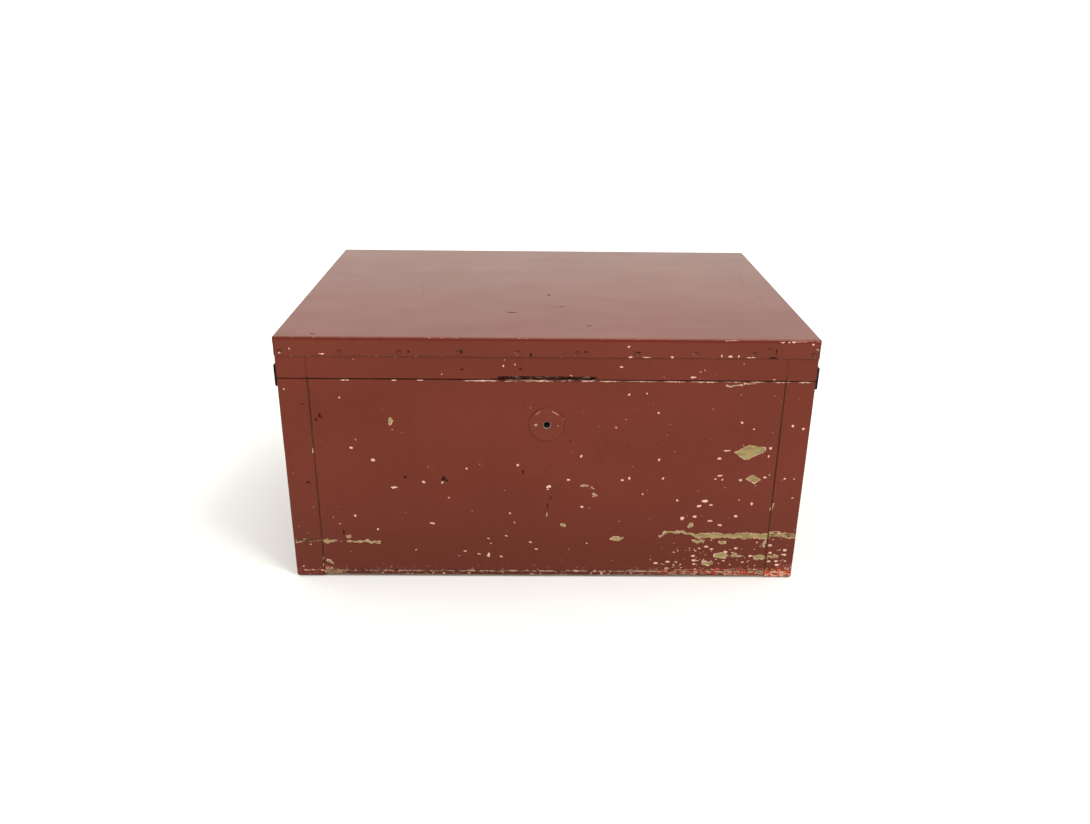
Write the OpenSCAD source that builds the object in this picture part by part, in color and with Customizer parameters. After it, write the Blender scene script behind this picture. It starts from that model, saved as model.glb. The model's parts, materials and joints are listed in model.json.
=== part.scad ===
// Lockable floor-standing mail chest: a timber box on four corner posts, with a
// hinged lid under a nailed sheet-metal cover, two slotted lid stays and a chest lock.
// Millimetres. +X is the chest's right as seen from the front, +Y is the back, +Z is up.
// The origin is on the floor, at the middle of the chest's overall width and depth.

/* [Box] */
// Width over the timber
box_w = 900; // [700:10:1100]
// Depth over the timber, front to back
box_d = 640; // [500:10:800]
// Height of the seam between case and lid, above the floor
seam_z = 384; // [340:1:500]
// Overall height, to the top of the cover sheet
total_h = 457; // [450:1:600]
// Gap between the case rim and the lid
seam_gap = 1; // [1:0.1:2]

/* [Timber] */
// Visible width of a corner post and of a lid corner block
post_w = 50; // [40:1:60]
// Thickness of the plywood panels and of the lid's top board
panel_t = 12; // [9:0.5:14]
// Thickness of the bottom board
bottom_t = 9.5; // [6:0.5:12]
// How far the posts stand below the bottom board
foot_h = 5; // [3:0.5:12]
// Thickness of the rails behind the panels
rail_t = 22; // [18:1:26]
// Height of the rails round the rim
top_rail_h = 40; // [36:1:50]
// Height of the rails round the floor
bottom_rail_h = 30; // [24:1:40]
// Width of the two floor battens
batten_w = 40; // [25:1:60]
// Height of the two floor battens
batten_h = 20; // [12:1:30]

/* [Finger recess] */
// Length of the recess in the lid's front rail
recess_l = 164; // [100:2:200]
// Height of the recess
recess_h = 5.5; // [4:0.5:12]
// Depth of the recess, into the rail
recess_deep = 9; // [6:0.5:16]

/* [Lid cover] */
// Thickness of the cover sheet
sheet_t = 1.2; // [0.8:0.1:2]
// Depth of the turned-down flange
flange_h = 32; // [25:1:34]
// Spacing of the tacks through the flange
tack_pitch = 98; // [80:1:100]
// Radius of a tack head
tack_head_r = 3.5; // [2.5:0.1:4.5]
// Thickness of a tack head
tack_head_t = 1; // [0.5:0.1:1.4]

/* [Hinges] */
// Distance of each hinge from the middle of the chest
hinge_x = 280; // [200:5:320]
// Width of a hinge
hinge_w = 90; // [80:5:100]
// Length of a leaf, from the pin to its far edge
leaf_l = 37; // [30:1:38]
// Thickness of a leaf
leaf_t = 2; // [1.5:0.1:2.5]
// Radius of the knuckles
knuckle_r = 4; // [3.8:0.1:5]
// Radius of the hinge pin
hinge_pin_r = 2; // [1.5:0.1:2]
// How far the lid opens, in degrees
lid_open = 100; // [90:1:105]

/* [Lid stays] */
// Distance of both stay pins from the hinge axis
stay_r = 170; // [150:1:175]
// Height of the pivot above the hinge axis, on the lid
stay_pivot_up = 18; // [15:1:22]
// Depth of the guide pin below the hinge axis, in the case
stay_guide_down = 22; // [18:1:24]
// Width of the arm
stay_arm_w = 20; // [18:1:24]
// Thickness of the arm
stay_arm_t = 3; // [2:0.5:4]
// Radius of the pivot and guide pins
stay_pin_r = 3; // [2.5:0.5:3.5]

/* [Lock] */
// Height of the keyhole above the floor
key_z = 303; // [295:1:310]
// Radius of the keyhole
key_r = 6; // [5:0.1:6]
// Radius of the round escutcheon
escutcheon_r = 30.5; // [27:0.5:34]
// Thickness of the escutcheon
escutcheon_t = 1.5; // [1:0.1:2]
// Spacing of the two escutcheon screws
escutcheon_screws_x = 39; // [30:1:44]
// Turn of the follower that drives the bolt, in degrees
follower_turn = 60; // [50:1:60]

/* [Lid guides] */
// Length of each plate beside the seam
guide_l = 44; // [34:2:80]
// Height of a plate above the seam, on the lid
guide_up = 23; // [18:1:26]
// Height of its lip below the seam, beside the case
guide_down = 16; // [8:1:24]
// Thickness of a plate
guide_t = 5; // [3:0.1:6]
// Distance of each guide from the front of the chest
guide_back = 5; // [5:1:40]

/* [Hidden] */
$fn = 48;
eps = 1;          // overshoot of a cutting shape
run_fit = 0.05;   // radial clearance of a turning pin

paint = "#7d3a30";
plywood = "#b08c60";
pine = "#c19a68";
steel = "#8c8c88";
black = "#1c1c1e";

// Levels
rim_z = seam_z - seam_gap / 2;
lid_z = seam_z + seam_gap / 2;
board_top = total_h - sheet_t;
board_z = board_top - panel_t;
panel_z = foot_h + bottom_t;
tack_z = total_h - sheet_t - flange_h + 7.3;

// Screws: head radius, head height, shank radius and shank length
wood_screw = [4, 2, 1.8, 18];
pan_screw = [4, 2.2, 1.8, 20];
small_screw = [3.3, 1.4, 1.6, 11];

// Depths. The knuckles stand a little clear of the timber, and the origin is amid the whole depth
knuckle_gap = 0.3;
front_proud = max(sheet_t + tack_head_t, escutcheon_t + small_screw[1]);
back_proud = 2 * knuckle_r + knuckle_gap;
front_y = -(box_d + back_proud - front_proud) / 2;
back_y = front_y + box_d;
mid_y = (front_y + back_y) / 2;
post_in = post_w + panel_t;      // reach of a rebated post from the outside
inner = panel_t + rail_t;        // depth of the rim, and thickness of the lid's rails

// Hinge axis and the two pins of a stay, which stand at the same distance from it
axis_y = back_y + knuckle_gap + knuckle_r;
pivot_y = axis_y - sqrt(stay_r^2 - stay_pivot_up^2);
pivot_z = seam_z + stay_pivot_up;
guide_pin_y = axis_y - sqrt(stay_r^2 - stay_guide_down^2);
guide_pin_z = seam_z - stay_guide_down;
closed_angle = asin(stay_pivot_up / stay_r) + asin(stay_guide_down / stay_r);
pins_closed = 2 * stay_r * sin(closed_angle / 2);
pins_open = 2 * stay_r * sin((closed_angle + lid_open) / 2);
arm_tilt = atan((guide_pin_y - pivot_y) / (pivot_z - guide_pin_z));
stay_plate_t = 3;                // thickness of the plates the stay pins stand on
stay_gap = 1.5;                  // gap between a plate and the arm

// Lock, from the chest's middle and the key's height
lock_front = front_y + inner;
lock_half_w = 54;
lock_low = key_z - 35;
lock_high = rim_z - 0.6;
lock_wall = 2;
lock_depth = 20;                 // case without its cover
bolt_y = lock_front + 10;        // near face of the bolt
bolt_t = 3;
eye_x = 18;                      // the strike's eyes stand at plus and minus this
eye_t = 4;
eye_low = rim_z - 21.6;
drive_r = 14;                    // crank of the follower's drive pin
drive_pin_r = 2.5;
bolt_travel = 2 * drive_r * sin(follower_turn / 2);

// A box from its two corners
module block(lo, hi) {
    translate(lo) cube(hi - lo);
}

// Places the children, and turns a left-hand part into its right-hand twin
module side(right) {
    mirror([right ? 1 : 0, 0, 0]) children();
}

// Turns a front part into its twin at the back
module back_twin(back) {
    translate([0, back ? 2 * mid_y : 0, 0]) mirror([0, back ? 1 : 0, 0]) children();
}

// An outline in Y and Z, extruded along X from x
module along_x(x, length) {
    translate([x, 0, 0]) rotate([90, 0, 90]) linear_extrude(length) children();
}

// An outline in X and Z, extruded along Y from y
module along_y(y, length) {
    translate([0, y + length, 0]) rotate([90, 0, 0]) linear_extrude(length) children();
}

// A cylinder along X, or along Y, from its start
module rod_x(at, r, length) {
    translate(at) rotate([0, 90, 0]) cylinder(r = r, h = length);
}

module rod_y(at, r, length) {
    translate(at) rotate([-90, 0, 0]) cylinder(r = r, h = length);
}

// ---- Timber of the case ----

// Plan of a post, its outer corner at the origin: a square rebated for two panels
module post_section() {
    difference() {
        square(post_in);
        translate([post_w, -eps]) square(panel_t + eps);
        translate([-eps, post_w]) square(panel_t + eps);
    }
}

module corner_post(right, back) {
    color(paint) side(right) back_twin(back)
        translate([-box_w / 2, front_y, 0]) linear_extrude(rim_z) post_section();
}

module front_panel() {
    color(paint) difference() {
        block([post_w - box_w / 2, front_y, panel_z], [box_w / 2 - post_w, front_y + panel_t, rim_z]);
        rod_y([0, front_y - eps, key_z], key_r + 1.6, panel_t + 2 * eps);
    }
}

module back_panel() {
    color(paint)
        block([post_w - box_w / 2, back_y - panel_t, panel_z], [box_w / 2 - post_w, back_y, rim_z]);
}

module side_panel(right) {
    color(paint) side(right)
        block([-box_w / 2, front_y + post_w, panel_z], [panel_t - box_w / 2, back_y - post_w, rim_z]);
}

module bottom_board() {
    color(paint) difference() {
        block([-box_w / 2, front_y, foot_h], [box_w / 2, back_y, panel_z]);
        for (right = [false, true], back = [false, true])
            side(right) back_twin(back) translate([-box_w / 2, front_y, foot_h - eps])
                linear_extrude(bottom_t + 2 * eps) post_section();
    }
}

// A rail behind the front panel, and its twin at the back
module cross_rail(back, low, high) {
    color(pine) back_twin(back)
        block([post_in - box_w / 2, front_y + panel_t, low], [box_w / 2 - post_in, front_y + inner, high]);
}

module side_rail(right, low, high) {
    color(pine) side(right)
        block([panel_t - box_w / 2, front_y + post_in, low], [inner - box_w / 2, back_y - post_in, high]);
}

module floor_batten(right) {
    color(pine) side(right) translate([-box_w / 6 - batten_w / 2, front_y + inner, panel_z])
        cube([batten_w, box_d - 2 * inner, batten_h]);
}

// A sunk nail at the origin, driven along +Y
module nail() {
    rod_y([0, 0, 0], 2, 1.2);
    rod_y([0, 1, 0], 1, 29);
}

// Five nails up each vertical edge of each panel, into the rebated posts
module panel_nails() {
    rows = 5;
    margin = 24;
    inset = post_w + panel_t / 2;
    step = (rim_z - panel_z - 2 * margin) / (rows - 1);
    color(paint) for (row = [0:rows - 1], right = [false, true], back = [false, true])
        side(right) back_twin(back) translate([0, 0, panel_z + margin + row * step]) {
            translate([inset - box_w / 2, front_y, 0]) nail();
            translate([-box_w / 2, front_y + inset, 0]) rotate([0, 0, -90]) nail();
        }
}

// ---- Timber of the lid ----

module lid_block(right, back) {
    color(paint) side(right) back_twin(back)
        block([-box_w / 2, front_y, lid_z], [post_w - box_w / 2, front_y + post_w, board_z]);
}

module lid_rail_front() {
    color(paint) difference() {
        block([post_w - box_w / 2, front_y, lid_z], [box_w / 2 - post_w, front_y + inner, board_z]);
        block([-recess_l / 2, front_y - eps, lid_z - eps],
              [recess_l / 2, front_y + recess_deep, lid_z + recess_h]);
    }
}

module lid_rail_back() {
    color(paint)
        block([post_w - box_w / 2, back_y - inner, lid_z], [box_w / 2 - post_w, back_y, board_z]);
}

module lid_side_rail(right) {
    color(paint) side(right)
        block([-box_w / 2, front_y + post_w, lid_z], [inner - box_w / 2, back_y - post_w, board_z]);
}

module lid_top_board() {
    color(plywood) block([-box_w / 2, front_y, board_z], [box_w / 2, back_y, board_top]);
}

// ---- Cover sheet and its tacks ----

module lid_cover_sheet() {
    low = board_top - flange_h;
    edge = [sheet_t, sheet_t, 0];
    inside_low = [-box_w / 2, front_y, low];
    inside_high = [box_w / 2, back_y, total_h];
    color(paint) difference() {
        block(inside_low - edge, inside_high + edge);
        block(inside_low - [0, 0, eps], inside_high - [0, 0, sheet_t]);
    }
}

// A tack with its head on the origin's face, driven along +Y
module tack() {
    rod_y([0, -tack_head_t, 0], tack_head_r, tack_head_t);
    rod_y([0, -0.1, 0], 1, 14);
}

module cover_tacks() {
    per_front = 2 * floor((box_w / 2 - 8) / tack_pitch + 0.5);
    per_side = 1 + 2 * floor((box_d / 2 - 8) / tack_pitch);
    color(paint) {
        for (i = [0:per_front - 1], back = [false, true]) {
            x = (i - (per_front - 1) / 2) * tack_pitch;
            back_twin(back) translate([x, front_y - sheet_t, tack_z]) tack();
        }
        for (i = [0:per_side - 1], right = [false, true]) {
            y = mid_y + (i - (per_side - 1) / 2) * tack_pitch;
            side(right) translate([-box_w / 2 - sheet_t, y, tack_z]) rotate([0, 0, -90]) tack();
        }
    }
}

// ---- Hinges ----

segments = 5;
segment_w = hinge_w / segments;
leaf_screws = [[-30, 13], [0, 27], [30, 13]];    // across, and out from the pin

// A leaf at the middle of the hinge: its knuckles are the even or the odd segments
module leaf(upper) {
    mine = [for (i = [0:segments - 1]) if ((i % 2 == 1) == upper) i];
    other = [for (i = [0:segments - 1]) if ((i % 2 == 1) != upper) i];
    up = upper ? 1 : -1;
    difference() {
        union() {
            block([-hinge_w / 2, back_y, seam_z + (upper ? 0 : -leaf_l)],
                  [hinge_w / 2, back_y + leaf_t, seam_z + (upper ? leaf_l : 0)]);
            for (i = mine)
                rod_x([(i * segment_w) - hinge_w / 2 + 0.2, axis_y, seam_z], knuckle_r, segment_w - 0.4);
        }
        for (i = other)
            rod_x([(i * segment_w) - hinge_w / 2 - 0.2, axis_y, seam_z], knuckle_r + 0.4, segment_w + 0.4);
        rod_x([-hinge_w / 2 - eps, axis_y, seam_z], hinge_pin_r + run_fit, hinge_w + 2 * eps);
        for (s = leaf_screws)
            translate([s[0], back_y + leaf_t, seam_z + up * s[1]]) rotate([90, 0, 0]) screw_hole(leaf_t);
    }
}

module hinge_leaf(right, upper) {
    color(steel) side(right) translate([-hinge_x, 0, 0]) leaf(upper);
}

// A riveted pin with a button at each end
module hinge_pin(right) {
    button = 2;
    color(steel) side(right) translate([-hinge_x, 0, 0]) {
        rod_x([-hinge_w / 2 - button, axis_y, seam_z], hinge_pin_r, hinge_w + 2 * button);
        rod_x([-hinge_w / 2 - button, axis_y, seam_z], knuckle_r - 0.8, button - 0.3);
        rod_x([hinge_w / 2 + 0.3, axis_y, seam_z], knuckle_r - 0.8, button - 0.3);
    }
}

// ---- Screws ----

// A countersunk screw with the top of its head at the origin, driven along +Z
module countersunk(s) {
    cylinder(r1 = s[0], r2 = s[2], h = s[1]);
    translate([0, 0, s[1] - 0.01]) cylinder(r = s[2], h = s[3]);
}

// The countersunk hole for that screw through a plate, from the origin along +Z
module screw_hole(t) {
    play = 0.1;
    head_r = wood_screw[0] + play;
    shank_r = wood_screw[2] + play;
    translate([0, 0, -0.001]) cylinder(r1 = head_r, r2 = shank_r, h = wood_screw[1]);
    translate([0, 0, -eps]) cylinder(r = shank_r, h = t + 2 * eps);
}

// A pan-head screw with its head on the face at the origin, driven along +Z
module pan_head(s) {
    translate([0, 0, -s[1]]) cylinder(r1 = s[0] - 1, r2 = s[0], h = s[1]);
    translate([0, 0, -0.01]) cylinder(r = s[2], h = s[3]);
}

module hinge_screws(upper) {
    up = upper ? 1 : -1;
    for (right = [false, true], s = leaf_screws)
        side(right) translate([s[0] - hinge_x, back_y + leaf_t, seam_z + up * s[1]])
            rotate([90, 0, 0]) countersunk(wood_screw);
}

// ---- Lid stays ----

stay_x = box_w / 2 - inner;                    // inner face of the rim and of the lid's rails
arm_x = stay_x - stay_plate_t - stay_gap;      // outer face of the arm
plate_screws = 13;                             // spacing of a plate's screws either side of its pin

// The arm hangs from the pivot past the guide pin, which runs in its slot
module stay_arm(right) {
    play = 0.5;
    slot_r = stay_pin_r + play;
    half = stay_arm_w / 2;
    color(steel) side(right) along_x(-arm_x, stay_arm_t)
        translate([pivot_y, pivot_z]) rotate(arm_tilt) difference() {
            union() {
                translate([-half, -pins_open]) square([stay_arm_w, pins_open]);
                circle(half);
                translate([0, -pins_open]) circle(half);
            }
            circle(stay_pin_r + run_fit);
            translate([-slot_r, -pins_open]) square([2 * slot_r, pins_open - pins_closed]);
            translate([0, -pins_closed]) circle(slot_r);
            translate([0, -pins_open]) circle(slot_r);
        }
}

// A plate with its pin: the same piece carries the arm on the lid and guides it in the case
module stay_pin_plate(y, z) {
    plate = [2 * plate_screws + 14, 26];
    head_t = 2.5;
    pin_l = stay_gap + stay_arm_t + 1 + head_t;
    difference() {
        union() {
            block([-stay_x, y - plate[0] / 2, z - plate[1] / 2],
                  [-stay_x + stay_plate_t, y + plate[0] / 2, z + plate[1] / 2]);
            rod_x([-stay_x, y, z], stay_pin_r, stay_plate_t + pin_l);
            rod_x([-stay_x, y, z], 6, stay_plate_t + stay_gap - 0.4);
            rod_x([-stay_x + stay_plate_t + pin_l - head_t, y, z], 6, head_t);
        }
        for (s = [-1, 1])
            translate([-stay_x + stay_plate_t, y + s * plate_screws, z]) rotate([0, -90, 0])
                screw_hole(stay_plate_t);
    }
}

module stay_pivot(right) {
    color(steel) side(right) stay_pin_plate(pivot_y, pivot_z);
}

module stay_guide(right) {
    color(steel) side(right) stay_pin_plate(guide_pin_y, guide_pin_z);
}

module stay_screws(y, z) {
    for (right = [false, true], s = [-1, 1])
        side(right) translate([-stay_x + stay_plate_t, y + s * plate_screws, z]) rotate([0, -90, 0])
            countersunk(wood_screw);
}

// ---- Lock ----

guide_pins = [[-4, key_z + 46], [-24, key_z + 26]];    // the bolt slides on these
guide_pin_r = 2.5;
lock_screw_xz = [[-48.5, key_z - 26], [48.5, key_z - 26], [-48.5, key_z + 60], [48.5, key_z + 60]];

module lock_case() {
    shoulder = bolt_y - 0.3;
    color(steel) {
        difference() {
            block([-lock_half_w, lock_front, lock_low], [lock_half_w, lock_front + lock_depth, lock_high]);
            block([lock_wall - lock_half_w, lock_front + lock_wall, lock_low + lock_wall],
                  [lock_half_w - lock_wall, lock_front + lock_depth + eps, lock_high - lock_wall]);
            rod_y([0, lock_front - eps, key_z], 7 + run_fit, lock_wall + 2 * eps);
            for (s = lock_screw_xz)
                rod_y([s[0], lock_front - eps, s[1]], pan_screw[2] + 0.1, lock_wall + 2 * eps);
            for (s = [-1, 1])
                block([s * eye_x - eye_t / 2 - 1.5, lock_front + 3.5, lock_high - lock_wall - eps],
                      [s * eye_x + eye_t / 2 + 1.5, lock_front + lock_depth - 1, lock_high + eps]);
        }
        for (p = guide_pins) {
            rod_y([p[0], lock_front + lock_wall - 0.1, p[1]], 4, shoulder - lock_front - lock_wall + 0.1);
            rod_y([p[0], lock_front + lock_wall - 0.1, p[1]], guide_pin_r, 14);
        }
    }
}

module lock_cover() {
    color(steel) difference() {
        block([-lock_half_w, lock_front + lock_depth, lock_low],
              [lock_half_w, lock_front + lock_depth + lock_wall, lock_high]);
        rod_y([0, lock_front + lock_depth - eps, key_z], 4 + run_fit, lock_wall + 2 * eps);
        for (s = lock_screw_xz)
            rod_y([s[0], lock_front + lock_depth - eps, s[1]], pan_screw[2] + 0.1, lock_wall + 2 * eps);
    }
}

// The bolt stands unlocked: each prong ends short of its eye
module lock_bolt() {
    play = 0.3;
    body_l = 44;
    body_low = 9;
    body_high = 55;
    neck_w = 8;
    prong_low = 66;
    prong_high = 72;
    slot_half = drive_pin_r + play;
    color(steel) along_y(bolt_y, bolt_t) translate([0, key_z]) difference() {
        union() {
            translate([1 - body_l, body_low]) square([body_l, body_high - body_low]);
            for (s = [-1, 1]) translate([s * eye_x - eye_t / 2 - 1 - bolt_travel, 0]) {
                translate([-neck_w, body_high - eps]) square([neck_w, prong_high - body_high + eps]);
                translate([-eps, prong_low]) square([bolt_travel + eps, prong_high - prong_low]);
            }
        }
        translate([-bolt_travel / 2 - slot_half, 0]) square([2 * slot_half, 17]);
        for (p = guide_pins) translate([p[0], p[1] - key_z]) {
            translate([-bolt_travel, -guide_pin_r - play]) square([bolt_travel, 2 * (guide_pin_r + play)]);
            circle(guide_pin_r + play);
            translate([-bolt_travel, 0]) circle(guide_pin_r + play);
        }
    }
}

// The follower turns with the key, and its drive pin moves the bolt
module lock_follower() {
    stud = 7;
    color(steel) translate([0, 0, key_z]) {
        rod_y([0, lock_front, 0], 7, 5);
        rod_y([0, lock_front + 4, 0], 18, 4);
        rod_y([0, lock_front + 7, 0], 4, lock_depth + lock_wall - 7);
        translate([-stud / 2, lock_front - 14, -stud / 2]) cube([stud, 15, stud]);
        rotate([0, -follower_turn / 2, 0]) rod_y([0, lock_front + 7, drive_r], drive_pin_r, 7);
    }
}

// Timber behind the panel, under the rim rail, that the lower half of the lock is screwed to
module lock_block() {
    color(pine) difference() {
        block([-lock_half_w, front_y + panel_t, lock_low], [lock_half_w, lock_front, rim_z - top_rail_h]);
        rod_y([0, front_y + panel_t - eps, key_z], 9, rail_t + 2 * eps);
    }
}

module lock_screws() {
    long_screw = [pan_screw[0], pan_screw[1], pan_screw[2], lock_depth + lock_wall + 18];
    color(steel) for (s = lock_screw_xz)
        translate([s[0], lock_front + lock_depth + lock_wall, s[1]]) rotate([90, 0, 0]) pan_head(long_screw);
}

// An angle on the lid with two eyes that drop into the lock
module strike_plate() {
    half_w = 34;
    t = 2.5;
    low = lid_z + 1.6;
    color(steel) difference() {
        union() {
            block([-half_w, lock_front, low], [half_w, lock_front + t, low + 32]);
            block([-half_w, lock_front, low], [half_w, lock_front + lock_depth, low + t]);
            for (s = [-1, 1])
                block([s * eye_x - eye_t / 2, bolt_y - 5, eye_low],
                      [s * eye_x + eye_t / 2, bolt_y + bolt_t + 5, low + eps]);
        }
        for (s = [-1, 1]) {
            block([s * eye_x - eye_t, bolt_y - 2, key_z + 64.5],
                  [s * eye_x + eye_t, bolt_y + bolt_t + 2, key_z + 73.5]);
            translate([s * (half_w - 10), lock_front + t, low + 20]) rotate([90, 0, 0]) screw_hole(t);
        }
    }
}

module strike_screws() {
    for (s = [-1, 1])
        translate([s * 24, lock_front + 2.5, lid_z + 21.6]) rotate([90, 0, 0]) countersunk(wood_screw);
}

module keyhole_bush() {
    flange_t = 0.8;
    color(steel) difference() {
        union() {
            rod_y([0, front_y - escutcheon_t, key_z], key_r + 1.5, panel_t + escutcheon_t + 2);
            rod_y([0, front_y - escutcheon_t - flange_t, key_z], key_r + 2.7, flange_t + 0.01);
        }
        rod_y([0, front_y - escutcheon_t - flange_t - eps, key_z], key_r, panel_t + 8);
    }
}

module escutcheon() {
    bevel = 0.8;
    color(paint) difference() {
        translate([0, front_y, key_z]) rotate([90, 0, 0]) {
            cylinder(r = escutcheon_r, h = escutcheon_t - bevel);
            translate([0, 0, escutcheon_t - bevel - 0.001])
                cylinder(r1 = escutcheon_r, r2 = escutcheon_r - bevel, h = bevel);
        }
        rod_y([0, front_y - 5, key_z], key_r + 1.6, 10);
        for (s = [-1, 1])
            rod_y([s * escutcheon_screws_x / 2, front_y - 5, key_z], 1.7, 10);
    }
}

module escutcheon_screws() {
    color(paint) for (s = [-1, 1])
        translate([s * escutcheon_screws_x / 2, front_y - escutcheon_t, key_z]) rotate([-90, 0, 0])
            pan_head(small_screw);
}

// ---- Guides beside the seam ----

// A steel plate screwed to the lid, whose lip hangs beside the case and keeps the lid in line
module lid_guide(right) {
    relief = 0.6;
    r = guide_t / 2;
    mid_x = -box_w / 2 - r;
    low = seam_z - guide_down;
    high = seam_z + guide_up;
    color(black) side(right) difference() {
        along_y(front_y + guide_back, guide_l) difference() {
            union() {
                translate([mid_x - r, low + r]) square([2 * r, high - low - 2 * r]);
                translate([mid_x, low + r]) circle(r);
                translate([mid_x, high - r]) circle(r);
            }
            translate([mid_x + r - relief, low - eps]) square([relief + eps, guide_down + eps]);
        }
        for (s = [-1, 1]) translate([mid_x - r, guide_screw_y(s), guide_screw_z])
            rotate([0, 90, 0]) screw_hole(guide_t);
    }
}

guide_screw_z = seam_z + 12;
function guide_screw_y(s) = front_y + guide_back + guide_l / 2 + s * 12;

module guide_screws() {
    for (right = [false, true], s = [-1, 1])
        side(right) translate([-box_w / 2 - guide_t, guide_screw_y(s), guide_screw_z])
            rotate([0, 90, 0]) countersunk(wood_screw);
}

// ---- Screws that share one node on each body ----

module case_wood_screws() {
    color(steel) {
        hinge_screws(false);
        stay_screws(guide_pin_y, guide_pin_z);
    }
}

module lid_wood_screws() {
    color(steel) {
        hinge_screws(true);
        stay_screws(pivot_y, pivot_z);
        strike_screws();
    }
    color(black) guide_screws();
}

corner_post(false, false);  // corner_post_front_left
corner_post(true, false);  // corner_post_front_right
corner_post(false, true);  // corner_post_back_left
corner_post(true, true);  // corner_post_back_right
front_panel();
back_panel();
side_panel(false);  // left_panel
side_panel(true);  // right_panel
bottom_board();
cross_rail(false, rim_z - top_rail_h, rim_z);  // top_rail_front
cross_rail(true, rim_z - top_rail_h, rim_z);  // top_rail_back
side_rail(false, rim_z - top_rail_h, rim_z);  // top_rail_left
side_rail(true, rim_z - top_rail_h, rim_z);  // top_rail_right
cross_rail(false, panel_z, panel_z + bottom_rail_h);  // bottom_rail_front
cross_rail(true, panel_z, panel_z + bottom_rail_h);  // bottom_rail_back
side_rail(false, panel_z, panel_z + bottom_rail_h);  // bottom_rail_left
side_rail(true, panel_z, panel_z + bottom_rail_h);  // bottom_rail_right
floor_batten(false);  // floor_batten_left
floor_batten(true);  // floor_batten_right
panel_nails();
lid_block(false, false);  // lid_block_front_left
lid_block(true, false);  // lid_block_front_right
lid_block(false, true);  // lid_block_back_left
lid_block(true, true);  // lid_block_back_right
lid_rail_front();
lid_rail_back();
lid_side_rail(false);  // lid_rail_left
lid_side_rail(true);  // lid_rail_right
lid_top_board();
lid_cover_sheet();
cover_tacks();
hinge_leaf(false, false);  // hinge_case_leaf_left
hinge_leaf(true, false);  // hinge_case_leaf_right
hinge_leaf(false, true);  // hinge_lid_leaf_left
hinge_leaf(true, true);  // hinge_lid_leaf_right
hinge_pin(false);  // hinge_pin_left
hinge_pin(true);  // hinge_pin_right
stay_arm(false);  // stay_arm_left
stay_arm(true);  // stay_arm_right
stay_pivot(false);  // stay_pivot_left
stay_pivot(true);  // stay_pivot_right
stay_guide(false);  // stay_guide_left
stay_guide(true);  // stay_guide_right
lock_case();
lock_cover();
lock_bolt();
lock_follower();
lock_block();
lock_screws();
strike_plate();
keyhole_bush();
escutcheon();
escutcheon_screws();
lid_guide(false);  // lid_guide_left
lid_guide(true);  // lid_guide_right
case_wood_screws();
lid_wood_screws();
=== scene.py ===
"""A timber mail chest in worn red-brown paint, its hinged lid under a nailed sheet-metal cover."""

import json
import math

import bmesh
import bpy
from mathutils import Matrix, Vector, noise


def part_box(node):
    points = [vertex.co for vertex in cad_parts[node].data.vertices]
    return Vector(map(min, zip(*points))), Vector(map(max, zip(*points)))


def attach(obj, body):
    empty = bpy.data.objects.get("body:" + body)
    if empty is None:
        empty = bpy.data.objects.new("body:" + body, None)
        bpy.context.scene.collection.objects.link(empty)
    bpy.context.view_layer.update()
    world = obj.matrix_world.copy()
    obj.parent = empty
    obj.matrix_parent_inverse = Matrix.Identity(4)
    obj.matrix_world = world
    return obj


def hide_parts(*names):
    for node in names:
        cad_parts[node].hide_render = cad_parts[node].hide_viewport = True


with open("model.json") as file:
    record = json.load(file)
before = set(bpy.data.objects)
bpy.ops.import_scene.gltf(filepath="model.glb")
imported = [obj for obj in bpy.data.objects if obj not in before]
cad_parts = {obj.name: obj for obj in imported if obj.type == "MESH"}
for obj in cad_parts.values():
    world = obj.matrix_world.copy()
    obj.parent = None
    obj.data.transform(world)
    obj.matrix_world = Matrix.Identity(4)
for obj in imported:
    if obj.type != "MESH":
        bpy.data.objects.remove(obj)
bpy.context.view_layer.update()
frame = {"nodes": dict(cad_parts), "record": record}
NODES = frame["nodes"]
RECORD = frame["record"]
BODIES = RECORD["behaviour"]["bodies"]
MM = 0.001
X, Y, Z = 0, 1, 2
FAR_FROM_EDGE = 30.0
NOISE_SEED = 7

# Without a seed, noise_vector takes its offsets from the clock
noise.seed_set(NOISE_SEED)

# Levels and faces of the timber, from the frame
POST_LOW, POST_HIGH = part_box("corner_post_front_left")
HALF_W = -POST_LOW[X]
FRONT = POST_LOW[Y]
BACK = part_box("corner_post_back_left")[1][Y]
RIM = POST_HIGH[Z]
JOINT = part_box("front_panel")[1][X]
LID_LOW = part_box("lid_rail_front")[0][Z]
SHEET_LOW, SHEET_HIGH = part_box("lid_cover_sheet")
KEY = Vector((0, FRONT, (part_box("escutcheon")[0][Z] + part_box("escutcheon")[1][Z]) / 2))
PLATE_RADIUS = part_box("escutcheon")[1][X]
RECESS_HALF = 0.078
RECESS_DEEP = 0.010


# ---- Colours, as linear red, green and blue ----

PAINT_RED = (0.122, 0.0212, 0.0122)
PAINT_BRIGHT = (0.140, 0.0245, 0.0138)
PAINT_LOW = (0.105, 0.0190, 0.0125)
# Painted shade: darker, redder paint for the band below the cover's top bend.
SHADED_CRIMSON = (0.128, 0.0110, 0.0085)
# A painted highlight: paler paint along the edges of the cover's top bend.
BEND_HIGHLIGHT_COLOUR = (0.30, 0.11, 0.08)
SHEEN_TINT = (1.0, 0.5, 0.35, 1.0)
OLD_PAINT = (0.33, 0.25, 0.108)
OLD_PAINT_DARK = (0.235, 0.175, 0.080)
PALE_CHIP = (0.74, 0.46, 0.35)
PRIMER = (0.48, 0.055, 0.020)
# Near black for nicks, scratches and edge grime, and for painted shade in creases, along the cover's bends
# and round the tacks.
GRIME_AND_SHADE = (0.014, 0.0038, 0.0030)
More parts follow.
